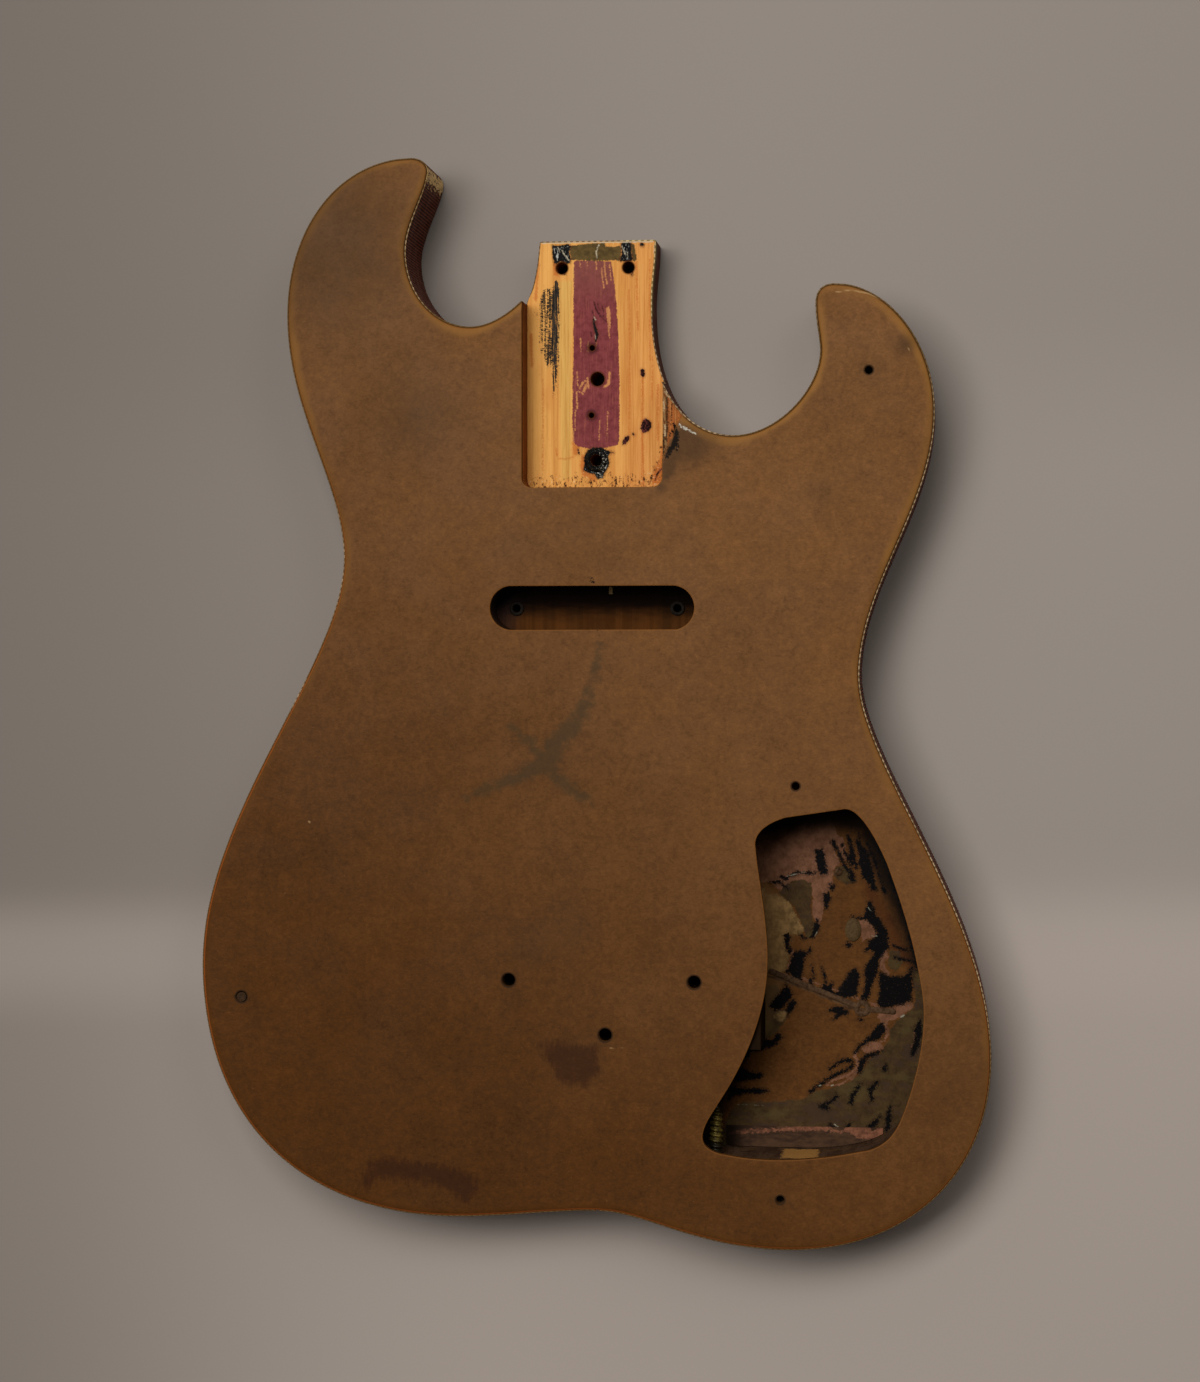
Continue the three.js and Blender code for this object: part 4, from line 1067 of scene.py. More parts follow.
TICK_AREAS = [
    [(546, 284), (553, 288), (559, 283), (559, 366), (556, 398), (553, 398), (552, 366), (545, 368), (540, 352),
     (535, 330), (534, 308), (538, 298)],
]
FRINGE_AREAS = [
    [(529, 478), (536, 476), (545, 478), (556, 475), (566, 478), (578, 474), (590, 478), (606, 475), (618, 476),
     (628, 472), (640, 478), (650, 474), (655, 466), (660, 456), (661, 446), (666, 440), (666, 489), (529, 490)],
    [(583, 470), (590, 474), (600, 480), (610, 474), (612, 489), (580, 489)],
]
ORANGE_AREAS = [
    [(582, 455), (590, 455), (589, 470), (590, 478), (582, 476), (580, 465)],
    [(588, 472), (596, 474), (596, 482), (589, 480)],
    [(656, 466), (660, 458), (661, 446), (665, 444), (665, 484), (652, 484), (653, 474)],
    [(553, 262), (558, 262), (559, 277), (554, 275)], [(572, 441), (580, 446), (577, 456), (573, 455)],
]
ORANGE_LINES = [
    (3, [(531, 335), (532, 366)]), (1.9, [(642.5, 376), (642.5, 430), (643, 485)]), (1.7, [(658, 385), (658, 440)]),
    (0.9, [(629, 290), (630, 380), (629, 440)]), (0.9, [(653, 300), (652, 400)]), (1.5, [(575, 261), (595, 262)]),
    (3.0, [(538, 262), (536, 300)]), (1.0, [(543, 380), (543, 470)]), (1.0, [(650, 260), (650, 360)]),
    (1.2, [(636, 262), (638, 330)]), (1.4, [(556, 449), (557, 455)]), (0.8, [(559, 459), (566, 459), (574, 457)]),
]
PALE_AREAS = [
    [(559, 281), (572, 281), (571, 340), (571, 440), (571, 478), (562, 480), (560, 400), (558, 340)],
]
# The first three are a pale scratch and cream beads near the top and right edges; the rest are painted glints on
# the black gloss, the dark scratches and the insert.
CREAM_AND_GLINT_SPECKS = [
    (1.2, [(599, 245), (596, 252), (597, 258)]), (1.5, [(541, 243), (653, 241.5)]),
    (1.0, [(654.5, 245), (654.5, 300)]), (1.0, [(562, 250), (565, 256)]), (1.2, [(566, 256), (569, 261)]),
    (0.8, [(558, 247), (560, 252)]), (1.0, [(622, 246), (625, 254)]), (0.8, [(627, 250), (628, 257)]),
    (0.9, [(595, 335), (596, 339)]), (1.2, [(604, 462), (605, 467)]), (0.8, [(600, 476), (602, 477)]),
    (0.9, [(594, 317), (596, 320)]),
]


pocket_fields = {name: drawn(POCKET_FLOOR, areas, lines) for name, areas, lines in (
    ("maroon", MAROON_AREAS, ()), ("scratch", (), SCRATCH_LINES), ("bare", BARE_AREAS, BARE_LINES),
    ("gloss", GLOSS_AREAS, GLOSS_LINES), ("knot", KNOT_AREAS, KNOT_LINES), ("olive", OLIVE_BAND, ()),
    ("grey", (), GREY_LINES), ("ticks", TICK_AREAS, ()), ("fringe", FRINGE_AREAS, ()),
    ("orange", ORANGE_AREAS, ORANGE_LINES), ("pale", PALE_AREAS, ()), ("cream", (), CREAM_AND_GLINT_SPECKS))}
pocket_fields["hole"] = lambda points: np.minimum(bolt_rim.gap(points), pin_rim.gap(points))
pocket_fields["pin"] = pin_rim.gap


def wood_height(points):
    layers = (("maroon", 0.35), ("gloss", 0.6), ("olive", 0.3), ("grey", 0.2))
    rise = sum(share * covered(pocket_fields[name](points)) for name, share in layers)
    lumps = 0.7 + 0.3 * bump_noise(points, 1.1 * MM, 8.0)
    bare = covered(pocket_fields["bare"](points))
    rim = rounded(pocket_fields["hole"](points), *PIN_ROUND)
    return POCKET_FLOOR + SKIN * (0.5 + rise * lumps * (1 - bare)) - rim


def pine_grain(look, light, dark):
    """Straight pine grain along Y: broad year rings, fine fibres and short dark pores."""
    rings = look.noise((4.2 * MM, 0.4, 0.03), 4, 0.6, shift=2.0, bend=0.2)
    fibre = look.noise((0.9 * MM, 0.03, 0.03), 5, 0.7, shift=6.0, bend=0.25)
    pores = look.noise((0.35 * MM, 2.4 * MM, 3.0 * MM), 2, 0.5, shift=31.0)
    patches = look.noise((7 * MM, 0.03, 0.03), 2, 0.5, shift=37.0)
    colour = look.blend(
        look.grade(rings, 0.4, 0.62, light, dark),
        (look.step(fibre, 0.5, 0.72, 0, 0.4), (178, 106, 48)),
        (look.step(fibre, 0.48, 0.3, 0, 0.3), (240, 188, 112)),
        (look.step(patches, 0.5, 0.68, 0, 0.3), (196, 120, 58)),
        (look.step(pores, 0.68, 0.76, 0, 0.45), (120, 70, 34)))
    return colour, fibre


def pocket_look():
    look = Look("pocket_wood", 0.02)
    colour, fibre = pine_grain(look, (228, 166, 88), (208, 144, 72))
    edge = look.sway(0.7 * MM, 2.4 * MM)
    streaky = look.noise((0.45 * MM, 9 * MM, 9 * MM), 4, 0.65, shift=4.0)
    strokes = 3.2 * MM * (streaky - 0.5)
    dust = look.noise(2.2 * MM, 4, 0.6, shift=8.0)
    dashes = look.noise((1.7 * MM, 0.6 * MM, 1.0 * MM), 4, 0.7, shift=23.0, bend=1.6)
    columns = look.noise((0.7 * MM, 14 * MM, 10 * MM), 3, 0.6, shift=27.0)
    toward = look.step(look.axis("X"), -0.028, -0.0165, -0.05, 0.03)
    toward = toward + look.step("ticks", 0.4 * MM, -2.2 * MM, -0.09, 0.025)
    ticks = look.step(dashes * 0.6 + columns * 0.4 + toward, 0.5, 0.53)
    specks = look.noise((1.3 * MM, 2.2 * MM, 1.0 * MM), 5, 0.72, shift=33.0)
    gloss = look.cover("gloss", edge * 0.7)
    glints = look.noise((0.9 * MM, 2.2 * MM, 1.0 * MM), 3, 0.65, shift=39.0, bend=1.0)
    bare = look.cover("bare", edge * 0.8 + strokes * 0.4, 0.15 * MM)
    paint = look.cover("maroon", edge * 0.7 + strokes * 0.3)
    right_side = look.step(look.axis("X"), 0.004, 0.02, 0, 0.6)
    grey = look.cover("grey", strokes * 1.5 + edge, 0.2 * MM) * look.step(streaky, 0.6, 0.54, 0.35, 1.0)
    # Painted glints: pale flecks on the black gloss, more of them away from the patches' edges.
    painted_glints = look.step(glints, 0.56, 0.64) * look.step("gloss", -0.3 * MM, -1.2 * MM, 0.05, 1.0)
    maroon = look.blend(
        look.grade(dust, 0.35, 0.7, (130, 62, 63), (110, 49, 51)),
        (look.step(streaky, 0.54, 0.7, 0, 0.5), (160, 92, 70)),
        (look.step(streaky, 0.44, 0.3, 0, 0.5), (86, 34, 35)),
        (look.step(look.axis("Y"), 0.165, 0.195, 0, 0.4), (134, 88, 72)))
    fringe = look.cover("fringe", look.sway(1.6 * MM, 7.0 * MM, 3.0, 41.0), 0.5 * MM)
    torn = look.either(fringe, look.step(look.axis("X"), 0.0293, 0.0303, 0, 0.7))
    colour = look.blend(
        colour,
        (right_side, look.grade(fibre, 0.4, 0.62, (216, 148, 82), (192, 118, 56))),
        (look.cover("pale", strokes, 0.7 * MM, 0.7), look.grade(fibre, 0.4, 0.65, (216, 172, 94), (192, 140, 68))),
        (look.cover("orange", edge, 0.6 * MM, 0.7), (184, 94, 36)),
        (paint, maroon),
        (paint * bare * look.step(streaky, 0.36, 0.56, 0.45, 0.9), (206, 140, 84)),
        (look.cover("scratch", edge * 0.7, 0.35 * MM, 0.8), (48, 20, 23)),
        (look.step("pin", 2.4 * MM, 0.3 * MM, 0, 0.75), (50, 20, 24)),
        (look.step("ticks", 0.9 * MM, 0.2 * MM) * ticks, (44, 38, 33)),
        (grey, look.grade(streaky, 0.4, 0.55, (30, 28, 30), (66, 56, 44))),
        (look.cover("olive", edge), look.grade(dust, 0.35, 0.65, (98, 78, 44), (76, 60, 34))),
        (torn * look.step(specks, 0.5, 0.42, 0, 0.8), (128, 76, 38)),
        (torn * look.step(specks, 0.43, 0.38), (40, 25, 16)),
        (torn * look.step(specks, 0.62, 0.68), (226, 196, 148)),
        (look.step("knot", 1.2 * MM, 0.0, 0, 0.3), (120, 60, 36)),
        (look.step(look.field("gloss") + edge, 1.0 * MM, 0.0, 0, 0.5), (96, 52, 32)),
        (look.cover("knot", edge * 0.6), look.grade(glints, 0.48, 0.62, (30, 15, 14), (96, 48, 44))),
        # black gloss with painted glints
        (gloss, look.mix(painted_glints, (13, 12, 11), (176, 174, 164))),
        # cream marks, and painted glints on the gloss and the insert
        (look.cover("cream", edge * 0.6, 0.2 * MM, 0.75), (196, 182, 154)),
        (look.step("hole", 0.9 * MM, 0.1 * MM, 0, 0.75), (84, 42, 20)))
    height = (fibre + dust * 0.6) * look.step(gloss, 0.0, 1.0, 1.0, 0.0)
    return look.finish(colour, look.step(gloss, 0.1, 0.9, 0.7, 0.4), height, 0.06 * MM)


wood = pocket_look()
board(
    "pocket_face", pocket_loops, ((0.25 * MM, 0.6 * MM), 0.5 * MM, None, wood_height),
    flat_side(POCKET_FLOOR),
    "pocket_pine", [wood] * 3, pocket_fields,
)

# ---- The broken corner, where the block's wood shows beside the pocket ----
CHIP_PALE_LINES = [
    (1.2, [(664, 390), (668, 396), (674, 403), (683, 415)]), (1.4, [(673, 446), (677, 452)]),
    (1.2, [(664, 400), (664, 412)]), (1.2, [(665, 425), (665, 436)]),
]
CHIP_DARK_LINES = [
    (2.2, [(667, 397), (667, 410), (667.5, 425), (666, 440)]), (2.0, [(663.5, 436), (663.5, 458)]),
    (1.0, [(672, 404), (671, 425)]),
]
CHIP_ACROSS = (30.9 * MM, 40.5 * MM)
CHIP_BROKEN = (104 * MM, 124 * MM)
CHIP_WHOLE = (123.5 * MM, math.inf)
CHIP_SKIN = 0.5 * MM
CHIP_RIDGES = (1, 3)


def chip_loop():
    """The bare part of the block's top: the board's broken edge, then the outline, then the pocket's wall."""
    sides = []
    for loop, along in ((top_raw[0], CHIP_BROKEN), (flat_loops("neck_block", FRAME_HIGH)[0], CHIP_WHOLE)):
        side = loop[in_box(loop, *np.transpose([CHIP_ACROSS, along]))]
        sides.append(side[np.argsort(side[:, 1])])
    loop = np.vstack(sides)
    return smooth(loop if area(loop) > 0 else loop[::-1], 0.5 * MM)


def chip_height(points):
    rise = np.clip(0.15 + 0.8 * chip_rim.gap(points) / MM, 0, 1)
    return FRAME_HIGH + CHIP_SKIN * rise * (0.55 + 0.45 * bump_noise(points / CHIP_RIDGES, 0.6 * MM, 5.0))


def chip_look():
    look = Look("chipped_wood", 0.03)
    colour, fibre = pine_grain(look, (166, 94, 48), (118, 62, 28))
    edge = look.sway(0.8 * MM, 3.0 * MM)
    specks = look.noise((0.6 * MM, 1.4 * MM, 1.0 * MM), 4, 0.7, shift=33.0)
    side = look.step(look.axis("X") + look.sway((1.0 * MM, 4 * MM, MM), 6 * MM), 0.0334, 0.0326)
    colour = look.blend(
        colour,
        (look.step(specks, 0.45, 0.3, 0, 0.7), (70, 38, 18)),
        (side * look.step(specks, 0.45, 0.55, 0.1, 0.9), (136, 108, 70)),
        (side * look.step(specks, 0.45, 0.38), (48, 32, 20)),
        (look.cover("dark", edge, 0.2 * MM, 0.8), (46, 27, 15)),
        (look.cover("black", edge), (20, 15, 12)),
        (look.cover("pale", edge * 0.5, 0.2 * MM, 0.8), (196, 168, 128)))
    return look.finish(colour, 0.7, fibre + specks, 0.2 * MM)


chip_edge = chip_loop()
chip_rim = Rim([chip_edge])
board(
    "chip_wood", [chip_edge], ((0.2 * MM,), 0.35 * MM, None, chip_height), flat_side(FRAME_HIGH),
    "pocket_pine", [chip_look()] * 3,
    {name: drawn(FRAME_HIGH, lines=lines) for name, lines in (
        ("black", CHIP_BLACK), ("pale", CHIP_PALE_LINES), ("dark", CHIP_DARK_LINES))},
)


def frame_pine_look(name, light, dark, dusty):
    """A look for the frame's pine, with its colour and its height, which further layers may change."""
    look = Look(name, 0.02)
    rings = look.noise((4.2 * MM, 0.4, 0.02), 3, 0.6, shift=2.0, bend=0.25)
    fibre = look.noise((0.5 * MM, 0.022, 0.022), 4, 0.7, shift=6.0, bend=0.1)
    dust = look.noise(0.012, 4, 0.6, shift=5.0)
    colour = look.blend(
        look.grade(rings, 0.4, 0.62, light, dark),
        (look.step(fibre, 0.5, 0.72, 0, 0.5), dark),
        (look.step(dust, 0.4, 0.7, 0, 0.6), dusty))
    return look, colour, fibre + dust


def plain_pine(*about):
    """Frame pine with nothing on it."""
    look, colour, height = frame_pine_look(*about)
    return look.finish(colour, 0.75, height, 0.1 * MM)


SLOT_MARK = (608.5, 597)
SLOT_MARK_HIGH = 30 * MM


def slot_look():
    """The routed floor under the slot: near black at its far side from a painted shadow, red-brown at its near
    side.
    """
    look, colour, height = frame_pine_look("slot_pine", (82, 47, 18), (68, 38, 13), (56, 34, 15))
    middle = on_level([SLOT_MARK], SLOT_MARK_HIGH)[0][0]
    mark = look.between(look.axis("X"), middle - MM, middle + MM, 0.5 * MM)
    mark = mark * look.step(look.axis("Y"), 0.0465, 0.047) * look.step(look.axis("Z"), 31 * MM, 27 * MM)
    # Painted shadow: the far side of the slot, under the board's edge, is painted near black.
    painted_shadow = look.axis("Y") + look.sway((12 * MM, 3 * MM, 9 * MM), 7 * MM)
    colour = look.blend(
        colour,
        (look.step(painted_shadow, 0.0325, 0.0435, 0, 0.97), (11, 6, 4)),
        (look.step(look.axis("X"), -0.031, -0.042, 0, 0.5), (48, 38, 38)),
        (mark, (116, 94, 60)))
    return look.finish(colour, 0.8, height, 0.1 * MM)


BARE_ACROSS = (81 * MM, 98.5 * MM)
BARE_UP = (7 * MM, 33 * MM)
BARE_SOFT = 2 * MM


def foot_look():
    """The rail at the foot of the cavity: grey-mauve paint over pine, with one bare patch."""
    look, colour, height = frame_pine_look("foot_pine", (82, 60, 44), (60, 41, 29), (72, 53, 42))
    patches = look.noise((9 * MM, 9 * MM, 4 * MM), 4, 0.6, shift=11.0)
    across = look.axis("X") + look.sway(3 * MM, 6 * MM)
    up = look.axis("Z") + look.sway(3 * MM, 8 * MM, shift=7.0)
    bare = look.between(across, *BARE_ACROSS, BARE_SOFT) * look.between(up, *BARE_UP, BARE_SOFT)
    colour = look.blend(
        colour,
        (look.step(patches, 0.55, 0.62, 0, 0.7), (88, 64, 36)),
        (look.step(patches, 0.42, 0.34, 0, 0.7), (42, 28, 20)),
        (bare, (164, 119, 64)))
    return look.finish(colour, 0.6, height, 0.1 * MM)


pocket_wall = plain_pine("pocket_wall", (150, 92, 44), (112, 62, 28), (88, 54, 30))
inside_pine = plain_pine("inside_pine", (98, 72, 44), (72, 50, 29), (58, 44, 30))
dull_steel = speckled(
    "dull_steel", 0.5, (0.8 * MM, 4), 0.4, 0.65, (120, 112, 100), (66, 52, 40), 0.5, 0.05 * MM, metal=0.8)


def block_look():
    """The bridge block: near black all over, a painted shade for where it lies under the board, and painted pale
    toward the pocket.
    """
    look, colour, height = frame_pine_look("block_pine", (34, 21, 10), (22, 14, 7), (26, 17, 9))
    painted = look.step(look.axis("Y") + look.sway(6 * MM, 12 * MM), -0.124, -0.114)
    paint = look.mix(height, (120, 92, 54), (170, 134, 84))
    return look.finish(look.mix(painted, colour, paint), 0.75, height, 0.1 * MM)


def dress(names, look):
    """Gives nodes of the frame a material."""
    for name in names:
        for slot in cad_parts[name].material_slots:
            slot.link = "OBJECT"
            slot.material = look


dress(["neck_block"], pocket_wall)
dress(["pickup_block"], slot_look())
dress([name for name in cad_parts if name.endswith("_rail") or name.endswith("_horn_block")], inside_pine)
dress(["bridge_block"], block_look())
dress(["right_tail_rail"], foot_look())
dress([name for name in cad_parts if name.startswith("staple")], dull_steel)


# ---- Small parts ----
def mound(name, loops, base, height, rings, spacing, slot, look, fields=None, **rest):
    """A lump on a flat base: height gives the top of each point from its place and its gap to the edge."""
    rim = Rim(loops)
    upper = (rings, spacing, None, lambda points: base + height(points, rim.gap(points)))
    board(name, loops, upper, flat_side(base), slot, [look] * 3, fields, **rest)


def ring_loop(middle, radius, steps, lumps=0.0, seed=0.0):
    """A circle round a place, or a lumpy one."""
    angle = np.arange(steps) / steps * 2 * math.pi
    way = np.stack([np.cos(angle), np.sin(angle)], 1)
    lump = bump_noise(way, 1 / RING_LUMPS, seed)
    return middle + way * (radius * (1 + lumps * lump))[:, None]


def lump(high, start, width, power, rough, size, seed=0.0, least=0.0):
    """A height that rises from the edge over a width and is rough by a share, in blotches of a size."""
    def height(points, gap):
        rise = np.clip(start + gap / width, least, 1) ** power
        return high * rise * (1 - rough + rough * bump_noise(points, size, seed))
    return height


def middle_of(loop):
    return (loop.min(0) + loop.max(0)) / 2


RING_LUMPS = 1.7
SCREW_HEAD = 1.25 * MM
SCREW_SLOT = 0.3 * MM
SLOT_WAY = (0.8, -0.6)
GLUE_HIGH = 2.6 * MM
GLUE_DEEP = 8 * MM
GLUE_END = 7 * MM
PINK_HIGH = 0.8 * MM
PLUG_DEEP = 1.6 * MM
PLUG_BELOW = 0.35 * MM

rubber = Look("black_gloss", 0.02)
grime = rubber.noise(1.4 * MM, 4, 0.65)
# Painted glints: pale flecks from this noise, with more of them on the right half of the ring.
gleam = rubber.noise(0.8 * MM, 3, 0.65, shift=12.0, bend=1.0)
lit = rubber.step(rubber.axis("X"), -0.002, 0.004, 0.0, 0.1)
rubber_look = rubber.finish(
    rubber.blend(
        (14, 12, 10),
        (rubber.step(grime, 0.52, 0.7), (48, 38, 22)),
        (rubber.step(gleam + lit, 0.66, 0.72), (150, 146, 132))),
    rubber.step(grime, 0.45, 0.7, 0.35, 0.6), grime, 0.03 * MM)
low_hole = min(pocket_loops[1:], key=lambda loop: middle_of(loop)[1])
mound(
    "insert_ring", [ring_loop(middle_of(low_hole), 5.15 * MM, 56, 0.1, 3.0), low_hole], POCKET_FLOOR,
    lump(0.85 * MM, 0.0, 1.1 * MM, 0.5, 0.2, 1.6 * MM, 2.0, least=0.1), (0.2 * MM, 0.5 * MM), 0.45 * MM,
    "black_rubber", rubber_look, replaces=["pocket_insert"],
)

fitting_look = speckled(
    "dull_fitting", 0.04, (0.9 * MM, 4), 0.35, 0.65, (34, 28, 22), (18, 14, 11), 0.7, 0.08 * MM)
for side in ("left", "right"):
    mound(
        f"{side}_fitting", [fine(loop) for loop in flat_loops(f"{side}_eyelet", SLOT_FLOOR)], SLOT_FLOOR,
        lump(1.05 * MM, 0.25, 0.6 * MM, 0.5, 0.03, 0.8 * MM), (0.15 * MM, 0.35 * MM), 0.4 * MM,
        "steel", fitting_look, replaces=[f"{side}_eyelet"],
    )

strap_look = speckled("old_strap", 0.05, (1.5 * MM, 5), 0.35, 0.68, (88, 64, 43), (54, 37, 23), 0.6, 0.12 * MM)
mound(
    "strap_band", [fine(loop) for loop in flat_loops("earth_strap", FLOOR_INSIDE)], FLOOR_INSIDE,
    lump(0.85 * MM, 0.3, 0.9 * MM, 0.7, 0.15, 2.5 * MM, 5.0), (0.2 * MM, 0.5 * MM), 0.5 * MM,
    "steel", strap_look, replaces=["earth_strap"],
)

felt_look = speckled("dusty_pad", 0.05, (1.1 * MM, 5), 0.35, 0.7, (88, 68, 42), (68, 51, 30), 0.6, 0.05 * MM)
mound(
    "pad_lump", [fine(flat_loops("floor_pad", FLOOR_INSIDE)[0])], FLOOR_INSIDE,
    lump(1.5 * MM, 0.15, 1.9 * MM, 0.5, 0.08, 1.8 * MM, 7.0), (0.2 * MM, 0.5 * MM), 0.45 * MM,
    "grey_felt", felt_look, replaces=["floor_pad"],
)

screw_place = middle_of(flat_loops("floor_screw", FLOOR_INSIDE)[0])


def head_height(points, gap):
    """A domed head with a driver slot."""
    dome = SCREW_HEAD * np.sqrt(np.clip(0.12 + gap / (1.3 * MM), 0, 1))
    in_slot = np.abs((points - screw_place) @ SLOT_WAY) < SCREW_SLOT
    return np.where(in_slot, 0.45 * dome, dome)


mound("screw_head", [ring_loop(screw_place, 1.75 * MM, 36)], FLOOR_INSIDE, head_height, (0.12 * MM,), 0.16 * MM,
      "steel", strap_look, replaces=["floor_screw"])

glue = Look("painted_glue", 0.03)
lumpy = glue.noise(2.2 * MM, 4, 0.65)
smear = glue.noise((9 * MM, 3 * MM, 3 * MM), 4, 0.65, shift=4.0)
dusty_glue = glue.grade(smear, 0.38, 0.62, (74, 52, 36), (52, 36, 26))
edge_wobble = glue.sway(1.4 * MM, 4.5 * MM, shift=7.0)
glue_look = glue.finish(
    glue.blend(
        dusty_glue,
        (glue.cover("pink", edge_wobble, 0.3 * MM), glue.grade(lumpy, 0.35, 0.65, (128, 82, 60), (92, 58, 42))),
        # painted shade at the left end, under the board's edge
        (glue.step(glue.axis("X"), 0.066, 0.058, 0, 0.9), (24, 16, 11))),
    0.7, lumpy, 0.25 * MM)
GLUE_PINK_LINES = [
    ([1.5, 2.5, 3.0, 3.0, 4.0, 5.0, 5.0, 3.0, 2.0],
     [(726, 1134), (736, 1132), (752, 1131), (775, 1130), (792, 1129), (805, 1128), (820, 1128), (833, 1130),
      (842, 1132)]),
]
GLUE_PINK_AREAS = [
    [(842, 1131), (850, 1126), (858, 1124), (866, 1126), (873, 1131), (880, 1128), (886, 1122), (885, 1130),
     (884, 1138), (870, 1139), (860, 1138), (852, 1134)],
]
glue_loop = fine(flat_loops("cavity_glue", FLOOR_INSIDE)[0])
glue_front = glue_loop[:, 1].max()


def glue_height(points, gap):
    """Rises from the front to the rail behind, and falls off at the left end."""
    back = np.clip((glue_front - points[:, 1]) / GLUE_DEEP, 0, 1)
    ends = np.clip((points[:, 0] - glue_loop[:, 0].min()) / GLUE_END, 0.15, 1)
    return GLUE_HIGH * np.clip(0.12 + 0.8 * back**0.8 * ends + 0.12 * bump_noise(points, 3 * MM, 6.0), 0.06, 1)


mound("glue_fillet", [glue_loop], FLOOR_INSIDE, glue_height, (0.4 * MM,), 0.7 * MM, "old_glue", glue_look,
      {"pink": drawn(FLOOR_INSIDE + PINK_HIGH, GLUE_PINK_AREAS, GLUE_PINK_LINES)},
      replaces=["cavity_glue"])

plug_look = speckled(
    "plugged_hole", 0.08, (0.9 * MM, 4), 0.42, 0.62, (62, 42, 24), (38, 26, 16), 0.7, 0.25 * MM)
plug_middle = min((middle_of(loop) for loop in small_holes), key=lambda place: place[0])


def plug_height(points, gap):
    lumps = 0.25 * MM * bump_noise(points, 1.3 * MM, 3.0) * np.clip(gap / MM, 0, 1)
    return PLUG_DEEP - PLUG_BELOW + lumps


mound("plug_fill", [ring_loop(plug_middle, 2.08 * MM, 36)], TOP - PLUG_DEEP, plug_height, (0.2 * MM,), 0.3 * MM,
      "grey_felt", plug_look, replaces=["top_plug"])

THREAD_CREST = 6.3 * MM / 2
THREAD_CORE = 4.6 * MM / 2
THREAD_PITCH = 2.4 * MM
THREAD_STEPS = 12
TURN_STEPS = 36


def thread():
    """The tail screw with a real helix, from the frame's node that lies along Y."""
    corners = np.array([v.co[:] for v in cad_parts["tail_screw"].data.vertices])
    low, high = corners.min(0), corners.max(0)
    axis_x, _, axis_z = (low + high) / 2
    rows = int((high[1] - low[1]) / (THREAD_PITCH / THREAD_STEPS))
    angle = np.arange(TURN_STEPS) / TURN_STEPS * 2 * math.pi
    places = []
    for share in np.arange(rows + 1) / rows:
        y = low[1] + (high[1] - low[1]) * share
        phase = ((y - low[1]) / THREAD_PITCH - angle / (2 * math.pi)) % 1
        ridge = np.clip(1.25 * (1 - np.abs(2 * phase - 1)) - 0.1, 0, 1)
        end = np.clip((1 - share) * 9, 0.55, 1)
        radius = (THREAD_CORE + (THREAD_CREST - THREAD_CORE) * ridge) * end
        places.append(np.column_stack([
            axis_x + radius * np.cos(angle), np.full(TURN_STEPS, y), axis_z + radius * np.sin(angle)]))
    look = Look("old_brass", 0.5, metal=0.6)
    patina = look.noise(1.3 * MM, 4, 0.65)
    along = look.axis("Y")
    # Painted shade: outside one short stretch the thread is painted near black, where the board's edge hides and
    # shades it.
    dirt_and_shade = look.either(look.step(along, -0.182, -0.177), look.step(along, -0.189, -0.194))
    colour = look.blend(look.grade(patina, 0.4, 0.65, (126, 108, 46), (66, 54, 24)), (dirt_and_shade * 0.93, (16, 12, 7)))
    make("screw_thread", np.vstack(places), tube(rows + 1, TURN_STEPS, turned=True), "brass",
         [look.finish(colour, 0.42, patina, 0.05 * MM)], replaces=["tail_screw"])


thread()


# ---- Floor of the room, lamps and world ----
FLOOR_REACH = 6.0
FLOOR_HIGH = -0.4 * MM
SIDE_LIGHT = 0.38
TOP_LIGHT = 0.12
FAR_LIGHT = 0.04
LIT_SIDE = (0.1, 0.95, 0.0)
WORLD_COLOUR = (1, 0.97, 0.93, 1)


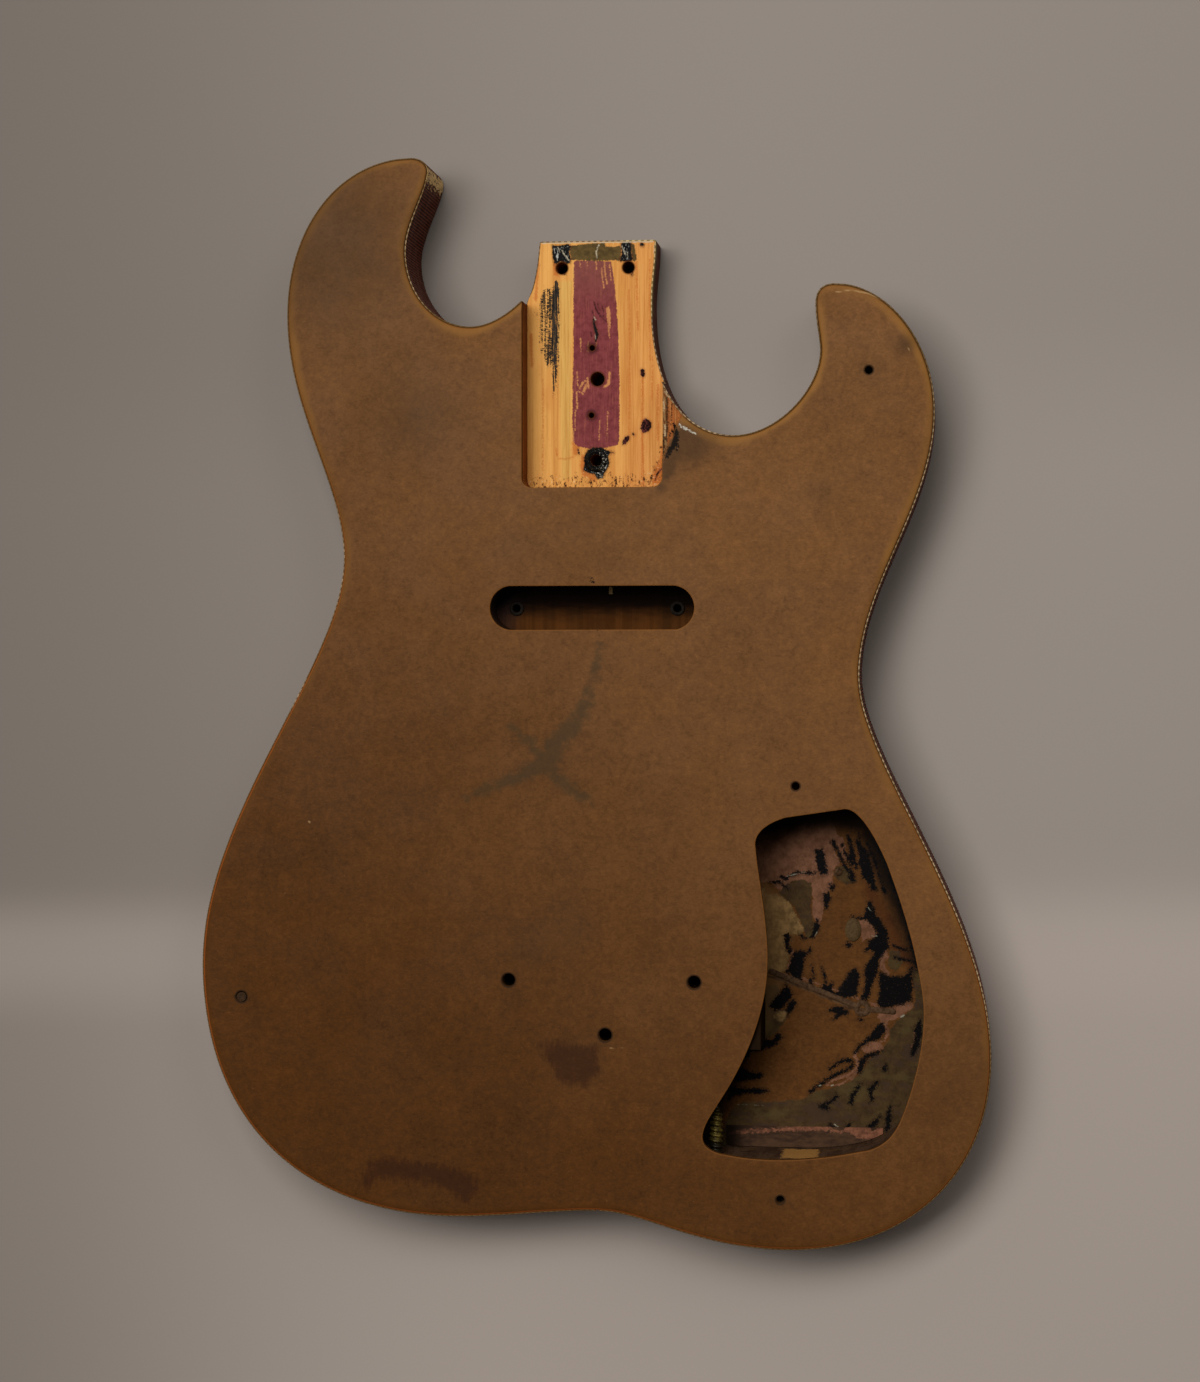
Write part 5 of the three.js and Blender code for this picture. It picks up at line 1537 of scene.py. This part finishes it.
def add_stage():
    """A sheet of paper with painted light: lighter to the right and toward the foot of the picture, with a brighter
    band across it, and darker at its far end.
    """
    look = Look("paper", 0.2)
    across = look.axis("X")
    colour = look.grade(across, -0.34, 0.10, (118, 109, 101), (152, 142, 133))
    along = look.axis("Y") + across * -0.02
    colour = look.blend(
        colour,
        (look.step(along, -0.06, -0.14) * look.step(across, -0.3, -0.02, 0.2, 0.8), (173, 160, 150)),
        (look.step(along, -0.078, -0.106) * look.step(along, -0.15, -0.112, 0, 0.24), (190, 176, 165)),
        (look.step(along, 0.09, 0.18, 0, 0.18), (101, 93, 86)))
    mesh = bpy.data.meshes.new("floor")
    corners = [(x * FLOOR_REACH, y * FLOOR_REACH, FLOOR_HIGH) for x, y in ((-1, -1), (1, -1), (1, 1), (-1, 1))]
    mesh.from_pydata(corners, [], [(0, 1, 2, 3)])
    mesh.materials.append(look.finish(colour, 0.85, look.noise(0.002, 3), 0.02 * MM))
    floor = bpy.data.objects.new("floor", mesh)
    bpy.context.scene.collection.objects.link(floor)


def add_lamp(name, place, target, size, power):
    lamp = bpy.data.objects.new(name, bpy.data.lights.new(name, "AREA"))
    lamp.data.shape = "RECTANGLE"
    lamp.data.size, lamp.data.size_y = size
    lamp.data.energy = power
    lamp.location = place
    lamp.rotation_euler = (Vector(target) - Vector(place)).to_track_quat("-Z", "Y").to_euler()
    bpy.context.scene.collection.objects.link(lamp)


def add_world():
    """Soft light, mostly from the key lamp's side, and darker straight above, where the camera stands."""
    world = bpy.data.worlds.new("world")
    bpy.context.scene.world = world
    world.use_nodes = True
    nodes = Nodes(world.node_tree)
    way = nodes.node("ShaderNodeTexCoord", "Generated")
    upward = nodes.node("ShaderNodeSeparateXYZ", "Z", {0: way})
    aside = nodes.node("ShaderNodeVectorMath", "Value", {0: way, 1: LIT_SIDE}, operation="DOT_PRODUCT")
    light = nodes.step(upward, 0.7, 0.93, 1.0, TOP_LIGHT / SIDE_LIGHT)
    light = light * nodes.step(aside, -0.7, 0.7, FAR_LIGHT, SIDE_LIGHT, way="LINEAR")
    back = world.node_tree.nodes["Background"]
    nodes.put(back.inputs["Strength"], light)
    nodes.put(back.inputs["Color"], WORLD_COLOUR)


add_stage()
add_lamp("key", (-0.42, 0.55, 1.9), (0.0, 0.0, 0.0), (1.4, 0.8), 34.0)
add_lamp("fill", (0.8, 0.8, 1.5), (0.05, 0.0, 0.0), (0.6, 0.6), 2.5)
add_world()
bpy.context.scene.view_settings.view_transform = "Standard"
